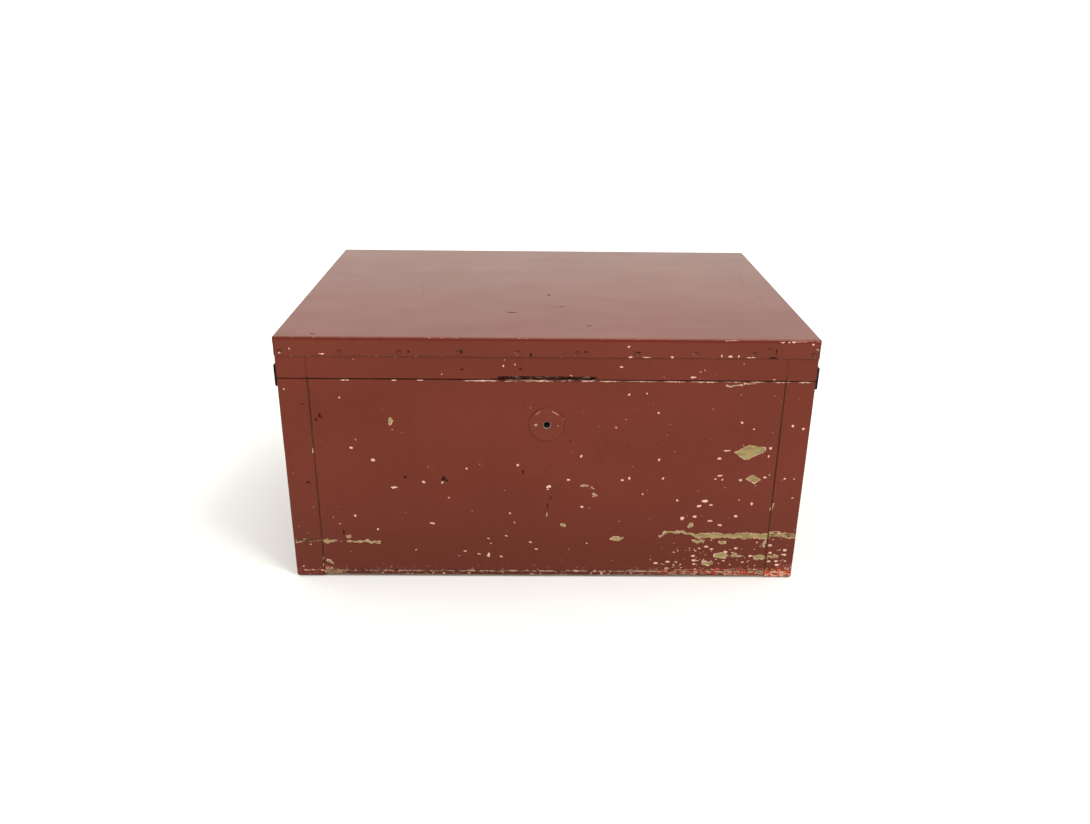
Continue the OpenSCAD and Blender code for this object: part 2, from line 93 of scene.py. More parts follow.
# Dark red for grime along edges and joints, and for painted shade round the keyhole plate.
GRIME_AND_SHADE_RED = (0.032, 0.0055, 0.0040)
DUST = (0.30, 0.29, 0.235)
ROTTED = (0.085, 0.015, 0.010)

# ---- Wear, in millimetres from the middle and from the floor ----
# Most places here were picked by eye in crops of the photo and turned into millimetres by a scratch program.
# The rules for this script allow no such table, and report.md says so.

# Large flakes, as the corners of a convex shape taken anticlockwise: x, z
FLAKES = [
    [(324, 253), (343, 238), (352, 240), (379, 256), (378, 263), (350, 267)],
    [(349, 202), (364, 192), (376, 200), (361, 210)],
]
# Bands rubbed through to the old paint: x and z of both ends, half of the width
BANDS = [
    (-444, 74, -402, 74, 1.7), (-396, 74, -374, 74, 2.6), (-353, 73, -296, 73, 2.2),
    (204, 87, 216, 94, 2.2), (216, 95, 252, 94, 2.4), (252, 94, 270, 89, 2.0), (272, 88, 330, 88, 5.0),
    (330, 88, 398, 87, 5.6), (404, 92, 448, 88, 5.6), (300, 376.6, 327, 376.6, 1.5),
    (331, 378.2, 349, 378.2, 1.1), (-393, 34, -384, 28, 2.6),
]
BANDS_BREAK_UP = 400
# Patches: x, z, width, height
PATCHES = [
    (-265, 308, 10, 11), (128, 82, 24, 9), (317, 47, 28, 10), (295, 31, 24, 9), (389, 44, 24, 12),
    (413, 45, 20, 9), (276, 76, 20, 8), (-388, 12, 16, 12), (-353, 84, 8, 5), (32, 108, 10, 7),
    (86, 169, 10, 6), (67, 186, 11, 5), (80, 183, 9, 4), (402, 147, 7, 14), (259, 109, 8, 7),
    (395, 72, 6, 14), (318, 74, 14, 7), (345, 47, 16, 7),
]
# The timber's rim along the joint: x, z, width, height
RIM_SCRAPES = [
    (-111, 382.3, 58, 2.6), (104, 382.6, 40, 1.6), (158, 382.6, 50, 1.4), (212, 382.4, 34, 1.8),
    (262, 382.4, 46, 2.2), (312, 382.8, 34, 1.2), (352, 382.6, 26, 1.6), (392, 382.4, 30, 1.6),
    (432, 382.2, 22, 1.6), (-337, 381.6, 14, 2.4), (-255, 382, 7, 3), (-211, 382.4, 12, 2),
    (-70, 382.5, 18, 1.6), (-30, 382.6, 12, 1.4), (62, 382.4, 22, 2.2), (20, 382.8, 10, 1.6),
]
# Chips down to an older coat, and dark nicks, on the timber and then on the cover's flange: as patches
CHIPS = [
    (-335, 258, 5.5, 4.5), (-299, 234, 6, 5), (-326, 273, 2.5, 3), (-265, 182, 11, 4), (-213, 193, 6, 3.5),
    (-181, 192, 3.5, 3), (-138, 219, 3.5, 3), (-49, 226, 4, 4), (-337, 125, 4, 5), (-299, 98, 4.5, 4),
    (-201, 111, 8, 3), (-63, 132, 3, 3), (-55, 113, 3.5, 2.5), (-70, 86, 3.5, 3), (-102, 80, 5, 2.5),
    (-144, 54, 6, 2.5), (-119, 48, 7, 3), (-102, 46, 5, 9), (-80, 43, 5, 2.5), (-27, 73, 4, 3),
    (-16, 59, 5, 3), (-349, 350, 3, 3), (-401, 252, 2.5, 12), (-440, 365, 3, 3), (2, 129, 3, 8),
    (138, 359, 4, 3), (168, 361, 3, 3), (190, 326, 3, 4), (60, 244, 4, 5), (39, 198, 5, 4),
    (5, 185, 9, 4), (133, 198, 6, 3.5), (145, 202, 3.5, 5), (195, 238, 4, 4.5), (204, 202, 3.5, 4.5),
    (170, 171, 4, 4), (232, 159, 3, 3), (300, 241, 7, 5.5), (312, 256, 12, 2), (387, 261, 4, 4),
    (385, 246, 3.5, 5), (333, 309, 4, 3), (355, 297, 3.5, 3), (420, 303, 4, 4), (439, 298, 5, 3.5),
    (303, 208, 9, 2.4), (296, 201, 3, 3), (308, 200, 3.5, 3), (340, 199, 4, 4), (382, 205, 5, 4),
    (390, 209, 3, 4), (417, 202, 3.5, 3), (434, 202, 3, 3), (281, 158, 11, 4.5), (271, 148, 8, 5),
    (292, 150, 6, 4.5), (364, 153, 4, 5.5), (341, 161, 3, 3), (434, 164, 4, 3.5), (243, 123, 6, 6),
    (265, 127, 5, 5), (293, 118, 9, 3), (311, 110, 8, 4.5), (338, 128, 7, 4.5), (64, 145, 5, 4.5),
]
SEAM_CHIPS = [
    (244, 390, 9, 2.4), (256, 399, 3, 1.4), (262, 402, 3, 1.6), (-176, 393, 2, 3), (-73, 409, 3, 3),
    (-54, 411, 2.5, 2.5), (123, 407, 5, 2.6), (380, 388, 5, 1.2), (-30, 386, 3, 2), (40, 392, 5, 1.4),
]
NICKS = [
    (-411, 338, 3, 4), (-384, 318, 5, 8), (-390, 310, 4, 5), (-414, 190, 9, 3.5), (-245, 202, 6, 5),
    (-179, 199, 7, 10), (-174, 196, 12, 2.5), (-40, 213, 3, 10), (-360, 91, 3, 11), (-379, 123, 2.5, 2.5),
    (-360, 137, 3, 3), (8, 226, 2, 2), (-142, 401, 3, 3), (-45, 403, 6, 3), (8, 163, 2.5, 6),
    (3, 147, 3, 9), (41, 272.5, 3, 3), (-425, 75, 34, 2.4),
]
FLANGE_CHIPS = [
    (137, 425.5, 6, 3), (164, 425.5, 12, 1.6), (206, 425.5, 5, 3), (302, 427, 6, 3.8),
    (316, 428, 3.2, 3.4), (337, 425.5, 14, 1.6), (133, 444, 4, 3), (386, 453, 6, 1.8),
    (397, 452.5, 4, 1.4), (405, 454, 7, 3.2), (437, 449, 4.5, 3.4), (302, 455, 22, 1.4),
    (-440, 429, 6, 3), (-424, 436, 3, 3), (-372, 428, 9, 2), (288, 429, 3, 3), (420, 454.6, 30, 0.9),
    (446, 454.6, 8, 1), (445, 441, 4, 1.6),
]
FLANGE_NICKS = [
    (373, 425, 15, 4.5), (-229, 433, 4, 5), (-28, 427, 4, 9), (378, 437, 3, 10), (62, 434, 5, 3.5),
    (366, 442, 5, 2.5), (150, 433, 8, 2.5), (-142, 433, 3.5, 9), (29, 300.5, 3, 2.5),
]
# The keyhole's plate: paint off the screws, and two scratches, as x and z of both ends and half of the width
PLATE_CHIPS = [(-18.8, 303.2, 5.6, 5.6), (18.8, 302, 3.2, 3.2)]
PLATE_SCRATCHES = [(-19, 322, -12, 327, 0.4), (9.5, 327.5, 19, 321.5, 0.6)]
# Marks on top of the cover: x, distance from the front, width, length
TOP_NICKS = [(5, 265, 5, 8), (-62, 148, 20, 4.5), (71, 71, 11, 4), (-388, 15, 9, 5), (28, 187, 12, 3)]
TOP_SCRATCHES = [(28, 186, 30, 2.5), (-150, 230, 60, 2), (180, 390, 90, 2), (250, 120, 44, 2)]
# Creases in the top: places it passes through, as x and distance from the front
TOP_CREASES = [[(-241, 340), (-231, 240)], [(403, 444), (394, 351), (405, 273), (403, 175)]]


# ---- Shader building ----

class Shader:
    """A material and short calls for the nodes it is built from."""

    def __init__(self, name, **sockets):
        self.material = bpy.data.materials.new(name)
        self.material.use_nodes = True
        self.tree = self.material.node_tree
        self.surface = self.tree.nodes["Principled BSDF"]
        for key, value in sockets.items():
            self.surface.inputs[key.replace("_", " ")].default_value = value
        place = self.tree.nodes.new("ShaderNodeTexCoord")
        self.facing = self.split(place.outputs["Normal"])
        self.mm = self.vector("SCALE", place.outputs["Object"], scale=1 / MM)
        self.across, self.along, self.up = self.split(self.mm)

    def feed(self, socket, value):
        if isinstance(value, bpy.types.NodeSocket):
            self.tree.links.new(value, socket)
        else:
            socket.default_value = value

    def node(self, kind, inputs, out=0, **settings):
        made = self.tree.nodes.new("ShaderNode" + kind)
        for key, value in settings.items():
            setattr(made, key, value)
        for key, value in inputs.items():
            self.feed(made.inputs[key], value)
        return made.outputs[out]

    def math(self, operation, a, b=0.0, clamp=False):
        return self.node("Math", {0: a, 1: b}, operation=operation, use_clamp=clamp)

    def times(self, a, b):
        return self.math("MULTIPLY", a, b)

    def plus(self, a, b):
        return self.math("ADD", a, b)

    def size(self, a):
        return self.math("ABSOLUTE", a)

    def minus(self, a, b):
        return self.math("SUBTRACT", a, b)

    def vector(self, operation, a, b=(0, 0, 0), scale=1.0):
        out = 1 if operation in ("LENGTH", "DOT_PRODUCT") else 0
        return self.node("VectorMath", {0: a, 1: b, 3: scale}, out, operation=operation)

    def step(self, value, low, high, to_low=0.0, to_high=1.0):
        inputs = {"Value": value, "From Min": low, "From Max": high, "To Min": to_low, "To Max": to_high}
        return self.node("MapRange", inputs, interpolation_type="SMOOTHSTEP")

    def mix(self, share, a, b):
        pair = {0: share, 6: self.colour(a), 7: self.colour(b)}
        return self.node("Mix", pair, 2, data_type="RGBA")

    def colour(self, value):
        return value if isinstance(value, bpy.types.NodeSocket) else (*value, 1)

    def split(self, vector):
        parts = self.tree.nodes.new("ShaderNodeSeparateXYZ")
        self.feed(parts.inputs[0], vector)
        return parts.outputs

    def noise(self, size_mm, detail=2.0, stretch=(1, 1, 1), roughness=0.5, distortion=0.0, shift=0, out=0):
        """Noise whose features are about size_mm across, pulled out along an axis by a stretch over 1."""
        scaled = [1 / (size_mm * s) for s in stretch]
        place = self.node("VectorMath", {0: self.mm, 1: scaled, 2: (shift, shift, shift)},
                          operation="MULTIPLY_ADD")
        inputs = {"Vector": place, "Scale": 1.0, "Detail": detail, "Roughness": roughness,
                  "Distortion": distortion}
        return self.node("TexNoise", inputs, out)

    def most(self, *masks):
        whole = masks[0]
        for mask in masks[1:]:
            whole = self.math("MAXIMUM", whole, mask)
        return whole

    def attribute(self, name):
        return self.node("Attribute", {}, 2, attribute_name=name)

    def ragged(self, amount_mm, size_mm, shift=0, detail=4):
        """The place in millimetres, pushed about by noise, so that what is drawn there has a torn outline."""
        push = self.vector("SUBTRACT", self.noise(size_mm, detail, shift=shift, out=1), (0.5, 0.5, 0.5))
        return self.vector("ADD", self.mm, self.vector("SCALE", push, scale=7 * amount_mm))

    def in_plane(self, plane, a, b):
        """A vector with a and b along the two axes of a plane."""
        made = [0, 0, 0]
        made[plane[0]], made[plane[1]] = a, b
        return made

    def spots(self, places, plane, place):
        """Roughly how far a place is outside the nearest of some ellipses, in mm, and below 0 inside one."""
        nearest = FAR_FROM_EDGE
        for a, b, width, height in places:
            size = self.in_plane(plane, 2 / width, 2 / height)
            offset = self.in_plane(plane, -2 * a / width, -2 * b / height)
            reach = self.node("VectorMath", {0: place, 1: size, 2: offset}, operation="MULTIPLY_ADD")
            away = self.node("Math", {0: self.vector("LENGTH", reach), 1: min(width, height) / 2,
                                      2: -min(width, height) / 2}, operation="MULTIPLY_ADD")
            nearest = self.math("MINIMUM", nearest, away)
        return nearest

    def bands(self, ends, plane, place):
        """How far a place is outside the nearest of some bands with round ends, in mm."""
        nearest = FAR_FROM_EDGE
        flat = self.in_plane(plane, 1, 1)
        for a0, b0, a1, b1, half in ends:
            start = self.in_plane(plane, a0, b0)
            along = self.in_plane(plane, a1 - a0, b1 - b0)
            length = math.hypot(a1 - a0, b1 - b0)
            offset = self.vector("MULTIPLY", self.vector("SUBTRACT", place, start), flat)
            share = self.vector("DOT_PRODUCT", offset, [c / length ** 2 for c in along])
            share = self.math("ADD", share, 0.0, clamp=True)
            foot = self.vector("SCALE", along, scale=share)
            gap = self.vector("LENGTH", self.vector("SUBTRACT", offset, foot))
            nearest = self.math("MINIMUM", nearest, self.minus(gap, half))
        return nearest

    def flakes(self, shapes, plane, place):
        """How far a place is outside the nearest of some convex shapes, in mm."""
        nearest = FAR_FROM_EDGE
        for shape in shapes:
            depth = -FAR_FROM_EDGE
            for (a0, b0), (a1, b1) in zip(shape, shape[1:] + shape[:1]):
                length = math.hypot(a1 - a0, b1 - b0)
                start = self.in_plane(plane, a0, b0)
                out = self.in_plane(plane, (b1 - b0) / length, (a0 - a1) / length)
                beyond = self.vector("DOT_PRODUCT", self.vector("SUBTRACT", place, start), out)
                depth = self.math("MAXIMUM", depth, beyond)
            nearest = self.math("MINIMUM", nearest, depth)
        return nearest

    def within(self, distance, soft=0.25):
        return self.step(distance, -soft, soft, 1.0, 0.0)

    def specks(self, cell_mm, share, smallest_mm, largest_mm, shift=0, longer=1.33, tear_mm=0.35, deep=1,
               flat=False):
        """Scattered chips: one in some cells of a Voronoi pattern, of a random size, longer one way.

        With deep at 0 the pattern is the same at every depth. A flat pattern is one in x and z only.
        """
        push = self.ragged(tear_mm, 2.2, shift, 2)
        scaled = (1 / longer / cell_mm, deep / cell_mm, 1 / cell_mm)
        place = self.node("VectorMath", {0: push, 1: scaled, 2: (shift, shift, shift)},
                          operation="MULTIPLY_ADD")
        cells = self.tree.nodes.new("ShaderNodeTexVoronoi")
        if flat:
            cells.voronoi_dimensions = "2D"
            parts = self.split(place)
            place = self.node("CombineXYZ", {0: parts[X], 1: parts[Z]})
        self.feed(cells.inputs["Vector"], place)
        cells.inputs["Scale"].default_value = 1.0
        draw = self.split(cells.outputs["Color"])
        taken = self.math("LESS_THAN", draw[0], share)
        size = self.math("MULTIPLY_ADD", draw[1], (largest_mm - smallest_mm) / cell_mm)
        size.node.inputs[2].default_value = smallest_mm / cell_mm
        size = self.times(size, taken)
        gap = self.minus(cells.outputs["Distance"], size)
        return self.times(self.step(gap, -0.02, 0.03, 1.0, 0.0), taken)

    def toward(self, axis, sign):
        """1 where the surface faces along an axis of the piece."""
        return self.step(self.times(self.facing[axis], sign), 0.6, 0.8)

    def finish(self, colour, roughness, height=None, depth_mm=0.1):
        self.feed(self.surface.inputs["Base Color"], self.colour(colour))
        self.feed(self.surface.inputs["Roughness"], roughness)
        if height is not None:
            bump = {"Height": height, "Distance": depth_mm * MM, "Strength": 1.0}
            self.feed(self.surface.inputs["Normal"], self.node("Bump", bump))
        return self.material


# ---- Paint ----

def paint_colour(s):
    """Red-brown paint that varies broadly, is duller low down, and is brushed on."""
    broad = s.noise(160, 2, (1.6, 1.6, 1))
    mottle = s.noise(14, 4, (1, 1, 1.6), 0.6, shift=7)
    low = s.step(s.up, 30, 260, 0.75, 0.0)
    colour = s.mix(s.step(broad, 0.3, 0.7), PAINT_RED, PAINT_BRIGHT)
    colour = s.mix(low, colour, PAINT_LOW)
    dull = s.mix(0.5, colour, PAINT_LOW)
    colour = s.mix(s.step(mottle, 0.45, 0.75, 0.0, 0.5), colour, dull)
    runs = s.step(s.noise(16, 4, (1, 1, 7), 0.6, shift=53), 0.5, 0.8, 0.0, 0.45)
    return s.mix(runs, colour, PAINT_LOW)


def worn_timber_paint():
    """Paint on the case and the lid's timber. It is chipped to an older coat, and to primer at the foot."""
    s = Shader("timber_paint", IOR=1.4, Specular_Tint=SHEEN_TINT)
    across, up = s.across, s.up
    front = s.toward(Y, -1)
    fine = s.ragged(0.9, 4, 3)
    rough = s.ragged(2.2, 11, 5, 5)

    flakes = s.math("MINIMUM", s.flakes(FLAKES, (X, Z), s.ragged(0.8, 8, 1)), s.bands(BANDS, (X, Z), rough))
    flakes = s.math("MINIMUM", flakes, s.spots(PATCHES, (X, Z), rough))
    chips = s.math("MINIMUM", s.spots(CHIPS + SEAM_CHIPS, (X, Z), fine),
                   s.spots(RIM_SCRAPES, (X, Z), s.ragged(0.7, 3, 9)))
    on_posts = s.step(s.size(across), BANDS_BREAK_UP, BANDS_BREAK_UP + 2)
    broken = s.step(s.noise(3.2, 3, (1.6, 1, 1), shift=61), 0.43, 0.5)
    whole = s.most(s.minus(1.0, on_posts), broken)
    flaked = s.times(s.times(s.within(flakes), front), whole)
    rim = s.times(flaked, s.step(flakes, -1.1, -0.5))
    chipped = s.times(s.within(chips), front)

    # Scattered chips: few over the whole, crowded low down on the right, in short level streaks
    crowd = s.spots([(312, 40, 310, 76), (405, 60, 110, 90)], (X, Z), s.ragged(4, 30, 2))
    crowd = s.step(crowd, -26, 8, 1.0, 0.0)
    crowded = s.most(s.specks(6.5, s.step(crowd, 0, 1, 0.0, 0.95), 0.65, 2.0, 21, 2.0, 0.5, deep=0),
                     s.specks(4, s.step(crowd, 0.1, 1, 0.0, 0.4), 0.35, 0.9, 27, 1.7, 0.4, deep=0))
    crowded = s.times(crowded, front)
    tiny = s.specks(11, s.step(across, -200, 400, 0.12, 0.5), 0.3, 0.7, shift=2)
    low = s.step(up, 30, 280, 0.7, 0.12)
    medium = s.specks(22, low, 0.8, 1.6, shift=11)
    row = s.spots([(-255, 40, 170, 22), (-60, 100, 130, 90)], (X, Z), s.mm)
    row = s.times(s.step(row, -12, 2, 1.0, 0.0), s.specks(9, 0.3, 0.5, 1.0, shift=31))
    scattered = s.most(crowded, tiny, medium, row)

    # Bared edges, more so near the floor
    edge = s.attribute("edge_mm")
    bite = s.noise(9, 3, shift=13)
    reach = s.step(up, 0, 70, 3.0, 0.8)
    worn = s.minus(s.times(s.step(bite, 0.54, 0.78), reach), edge)
    edges = s.step(worn, 0.0, 0.3)

    # The foot, rubbed through in lines to old paint and red primer
    climb = s.math("DIVIDE", s.minus(up, 13.0), s.step(across, 400, 446, 14.0, 36.0))
    foot = s.times(s.step(climb, 0, 1, 1.0, 0.0), s.step(up, 0, 3, 0.6, 1.0))
    crumbs = s.noise(2.8, 5, (2.0, 2.0, 0.8), 0.7, 0.5, 17)
    lines = s.step(s.size(s.minus(up, 13.0)), 0.0, 2.5, 0.13, 0.0)
    beside_post = s.times(s.step(across, -401, -399), s.step(across, -386, -335, 0.9, 0.0))
    ends = s.most(s.step(across, 90, 250), beside_post)
    patchy = s.step(s.noise(40, 2, (1.5, 1.5, 1), shift=51), 0.35, 0.65, 0.5, 1.0)
    amount = s.plus(s.times(s.step(ends, 0, 1, 0.05, 0.31), patchy), lines)
    rubbed = s.step(s.plus(crumbs, s.times(amount, foot)), 0.655, 0.69)
    rubbed = s.times(rubbed, s.math("GREATER_THAN", foot, 0.01))
    kinds = s.noise(6, 5, (1.6, 1.6, 1), 0.75, shift=29)
    red = s.minus(kinds, s.step(ends, 0, 1, 0.1, 0.0))
    foot_colour = s.mix(s.step(kinds, 0.40, 0.44), OLD_PAINT, PALE_CHIP)
    foot_colour = s.mix(s.step(red, 0.48, 0.51), foot_colour, PRIMER)

    small = s.mix(s.step(s.noise(24, 2, shift=19), 0.6, 0.7), PALE_CHIP, OLD_PAINT)
    grainy = s.mix(s.step(s.noise(5, 4, (3, 3, 1), shift=23), 0.4, 0.65), OLD_PAINT, OLD_PAINT_DARK)
    colour = s.mix(rubbed, paint_colour(s), foot_colour)
    colour = s.mix(s.most(scattered, chipped, edges), colour, small)
    colour = s.mix(flaked, colour, grainy)
    colour = s.mix(s.times(rim, s.step(s.noise(5, 2, shift=33), 0.42, 0.55)), colour, PALE_CHIP)
    nicks = s.times(s.within(s.spots(NICKS, (X, Z), s.ragged(1.3, 3, 8)), 0.5), front)
    dots = s.specks(15, s.step(across, -350, 350, 0.035, 0.012), 0.3, 1.0, 81, 0.6, 0.6, flat=True)
    nicks = s.most(nicks, s.times(dots, front))
    dirt_and_shade = s.times(s.step(edge, 0.0, 1.4, 0.9, 0.0), s.step(s.noise(20, 3, shift=37), 0.2, 0.5))
    dirt_and_shade = s.times(dirt_and_shade, s.step(up, LID_LOW / MM + 3, LID_LOW / MM + 8, 1.0, 0.3))
    joint = s.minus(s.size(across), JOINT / MM)
    joint = s.times(s.step(s.size(joint), 0.6, 1.4, 1.0, 0.0),
                   s.step(across, -300, 300, 0.5, 0.95))
    joint = s.times(s.times(joint, front), s.math("LESS_THAN", up, RIM / MM))
    # A ring of painted shade round the keyhole plate's edge, stronger below the plate, drawn dark red with
    # the edge grime and the joints.
    from_key = s.vector("SUBTRACT", s.vector("MULTIPLY", s.mm, (1, 0, 1)), (0, 0, KEY.z / MM))
    ring = s.size(s.minus(s.vector("LENGTH", from_key), PLATE_RADIUS / MM))
    ring = s.times(s.step(ring, 0.3, 1.2, 1.0, 0.0), front)
    ring = s.times(ring, s.step(up, KEY.z / MM - 15, KEY.z / MM + 25, 0.45, 0.1))
    dirt_and_shade = s.most(dirt_and_shade, joint, ring)
    level = LID_LOW / MM + 0.4
    recess = s.bands([(-RECESS_HALF / MM, level, RECESS_HALF / MM, level, 4.0)], (X, Z), s.ragged(0.8, 6, 4))
    recess = s.times(s.within(recess, 0.5), s.math("LESS_THAN", s.along, (FRONT + RECESS_DEEP) / MM))
    splinters = s.step(s.noise(2.2, 4, (5, 1, 1), 0.65, 0.6, 57), 0.52, 0.58)
    splinters = s.times(splinters, s.step(s.noise(30, 2, shift=59), 0.42, 0.52, 0.0, 0.9))
    rotted = s.mix(splinters, ROTTED, PALE_CHIP)
    colour = s.mix(dirt_and_shade, colour, GRIME_AND_SHADE_RED)
    colour = s.mix(nicks, colour, GRIME_AND_SHADE)
    colour = s.mix(recess, colour, rotted)

    dark = s.most(nicks, dirt_and_shade, recess)
    bare = s.most(flaked, chipped, scattered, edges, s.times(rubbed, 0.7))
    film = s.minus(1.0, s.most(bare, s.times(nicks, 2.5)))
    skin = s.times(s.noise(5, 3, (1.8, 1.8, 1), 0.6, shift=41), 0.25)
    roughness = s.step(s.noise(70, 3, shift=43), 0.3, 0.7, 0.45, 0.50)
    roughness = s.most(roughness, s.times(s.most(bare, dark), 0.85))
    return s.finish(colour, roughness, s.plus(film, skin), 0.25)


def tack_rings(s):
    """Masks round the tacks, which stand at an even pitch: paint worn off below each, and a ring of painted
    shade round each.
    """
    places = [fastener_place(points)[0] for points in islands("cover_tacks")]
    in_front = sorted(p.x for p in places if p.y < FRONT + 2 * MM)
    at_side = sorted(p.y for p in places if p.x > HALF_W - 2 * MM)
    level = places[0].z / MM
    worn, shaded = 0.0, 0.0
    for axis, row in ((X, in_front), (Y, at_side)):
        pitch = (row[1] - row[0]) / MM
        along = s.minus((s.across, s.along, s.up)[axis], row[0] / MM)
        along = s.minus(s.math("FLOORED_MODULO", s.plus(along, pitch / 2), pitch), pitch / 2)
        above = s.minus(s.up, level)
        reach = s.math("SQRT", s.plus(s.math("POWER", along, 2), s.math("POWER", above, 2)))
        ring = s.step(s.size(s.minus(reach, 3.5)), 0.3, 1.0, 1.0, 0.0)
        ring = s.times(ring, s.step(s.size(s.facing[axis]), 0.3, 0.5, 1.0, 0.0))
        patchy = s.step(s.noise(5, 2, shift=71 + axis), 0.47, 0.55)
        below = s.step(s.plus(above, along), -2.5, 0.5, 1.0, 0.0)
        worn = s.math("MAXIMUM", worn, s.times(s.times(ring, below), patchy))
        # A ring of painted shade where each tack's head meets the sheet.
        shaded = s.math("MAXIMUM", shaded, s.times(ring, 0.75))
    return worn, shaded


def worn_sheet_paint():
    """Paint on the cover sheet, glossier than on timber, with marks on its flange and top."""
    s = Shader("sheet_paint", IOR=1.44, Specular_Tint=SHEEN_TINT)
    front = s.toward(Y, -1)
    top = s.toward(Z, 1)
    fine = s.ragged(0.8, 4, 3)
    chips = s.times(s.within(s.spots(FLANGE_CHIPS, (X, Z), fine)), front)
    nicks = s.times(s.within(s.spots(FLANGE_NICKS, (X, Z), fine), 0.5), front)
    shift = FRONT / MM
    top_nicks = s.spots([(x, shift + y, w, h) for x, y, w, h in TOP_NICKS], (X, Y), fine)
    scratch_and_crease_shade = s.spots([(x, shift + y, w, h) for x, y, w, h in TOP_SCRATCHES], (X, Y), fine)
    # The creases are drawn dark with the scratches: painted shade in the creases.
    creases = [(*a, *b, 0.8) for line in TOP_CREASES for a, b in zip(line, line[1:])]
    creases = s.bands([(a, shift + b, c, shift + d, w) for a, b, c, d, w in creases], (X, Y), fine)
    top_nicks = s.times(s.within(top_nicks), top)
    scratch_and_crease_shade = s.times(s.within(s.math("MINIMUM", scratch_and_crease_shade, creases), 0.6), top)

    edge = s.attribute("edge_mm")
    bite = s.noise(8, 3, shift=13)
    worn = s.minus(s.times(s.step(bite, 0.58, 0.8), 1.6), edge)
    edges = s.step(worn, 0.0, 0.3)
    few = s.times(s.specks(22, 0.1, 0.4, 0.9, shift=5), s.minus(1.0, top))
    plate = s.math("MINIMUM", s.spots(PLATE_CHIPS, (X, Z), fine), s.bands(PLATE_SCRATCHES, (X, Z), s.mm))
    plate = s.times(s.times(s.within(plate, 0.5), front), 0.6)
    worn_rings, shaded_rings = tack_rings(s)
    bare = s.most(chips, edges, few, worn_rings, plate)
    # Painted shade: a dark line down each end of the front flange, where it turns to the side.
    flange_end_shade = s.step(s.size(s.across), 448.2, 449.2)
    flange_end_shade = s.times(flange_end_shade, s.math("SUBTRACT", front, top, clamp=True))
    # Painted shade: dark lines along the top's bends at the sides and back, in place of a dark reflection
    # there.
    turned = s.most(s.size(s.facing[X]), s.facing[Y])
    bend_outline_shade = s.times(s.step(turned, 0.12, 0.32), s.step(turned, 0.9, 0.985, 0.85, 0.0))
    near_bend = s.minus(SHEET_HIGH[Z] / MM, s.up)
    bend_outline_shade = s.times(bend_outline_shade, s.step(near_bend, 2.5, 4.0, 1.0, 0.0))

    colour = paint_colour(s)
    dust = s.step(s.noise(90, 4, (2, 1, 1), shift=3), 0.3, 0.75, 0.85, 1.15)
    behind = s.step(s.along, -260, 330, 0.0, 0.13)
    colour = s.mix(s.times(s.times(dust, behind), top), colour, DUST)
    colour = s.mix(s.times(scratch_and_crease_shade, 0.6), colour, GRIME_AND_SHADE)
    # Painted shade: a darker, redder band just below the top bend, in place of the weaker reflection there.
    bend = s.times(s.step(near_bend, 1.0, 1.8), s.step(near_bend, 5, 7.5, 1.0, 0.0))
    colour = s.mix(s.times(bend, 0.9), colour, SHADED_CRIMSON)
    # Painted shade: a thin dark line on the front, about 2 mm below the top.
    bend_shade = s.step(s.size(s.minus(near_bend, 2.0)), 0.3, 0.9, 0.6, 0.0)
    bend_shade = s.most(s.times(bend_shade, front), bend_outline_shade)
    # A painted highlight: a paler line along the edges of the top bend.
    bend_highlight = s.times(s.step(edge, 0.6, 2.2, 0.5, 0.0), s.step(near_bend, 1.0, 4.0, 1.0, 0.0))
    colour = s.mix(bend_highlight, colour, BEND_HIGHLIGHT_COLOUR)
    colour = s.mix(bare, colour, PALE_CHIP)
    dirt_and_shade = s.times(s.step(edge, 0.0, 1.2, 0.6, 0.0), s.step(s.noise(18, 3, shift=37), 0.35, 0.6))
    # Gathered with the edge grime: the painted shade of the tack rings, the flange ends, the bends' outlines
    # and the line below the front bend.
    dirt_and_shade = s.most(dirt_and_shade, shaded_rings, s.times(flange_end_shade, 0.85), bend_shade)
    colour = s.mix(s.most(nicks, top_nicks, dirt_and_shade), colour, GRIME_AND_SHADE)

    dark = s.most(nicks, top_nicks, dirt_and_shade, s.times(scratch_and_crease_shade, 0.4))

    film = s.minus(1.0, s.most(bare, nicks, top_nicks, s.times(scratch_and_crease_shade, 0.6)))
    skin = s.times(s.noise(6, 3, roughness=0.6, shift=41), 0.16)
    waves = s.times(s.noise(90, 2, (1.5, 1, 1), shift=47), 0.5)
    roughness = s.step(s.noise(60, 4, (1.8, 1, 1), shift=43), 0.3, 0.7, 0.35, 0.385)
    roughness = s.most(roughness, s.times(s.most(bare, dark), 0.9))
    return s.finish(colour, roughness, s.plus(s.plus(film, skin), waves), 0.2)


# ---- Other materials ----

def bare_wood(name, grain, pale, dark):
    """Unpainted timber with its grain along one axis."""
    s = Shader(name, IOR=1.45)
    stretch = [14 if axis == grain else 1 for axis in (X, Y, Z)]
    rings = s.noise(9, 4, stretch, 0.6, 0.6)
    pores = s.noise(1.1, 2, [22 if axis == grain else 1 for axis in (X, Y, Z)], 0.6, shift=3)
    stain = s.noise(110, 3, shift=7)
    colour = s.mix(s.step(rings, 0.35, 0.68), pale, dark)
    colour = s.mix(s.step(pores, 0.55, 0.75, 0.0, 0.45), colour, [c * 0.45 for c in dark])
    colour = s.mix(s.step(stain, 0.45, 0.75, 0.0, 0.5), colour, [c * 0.6 for c in dark])
    height = s.plus(s.times(rings, 0.5), s.times(pores, 0.5))
    return s.finish(colour, s.step(rings, 0.3, 0.7, 0.62, 0.78), height, 0.12)


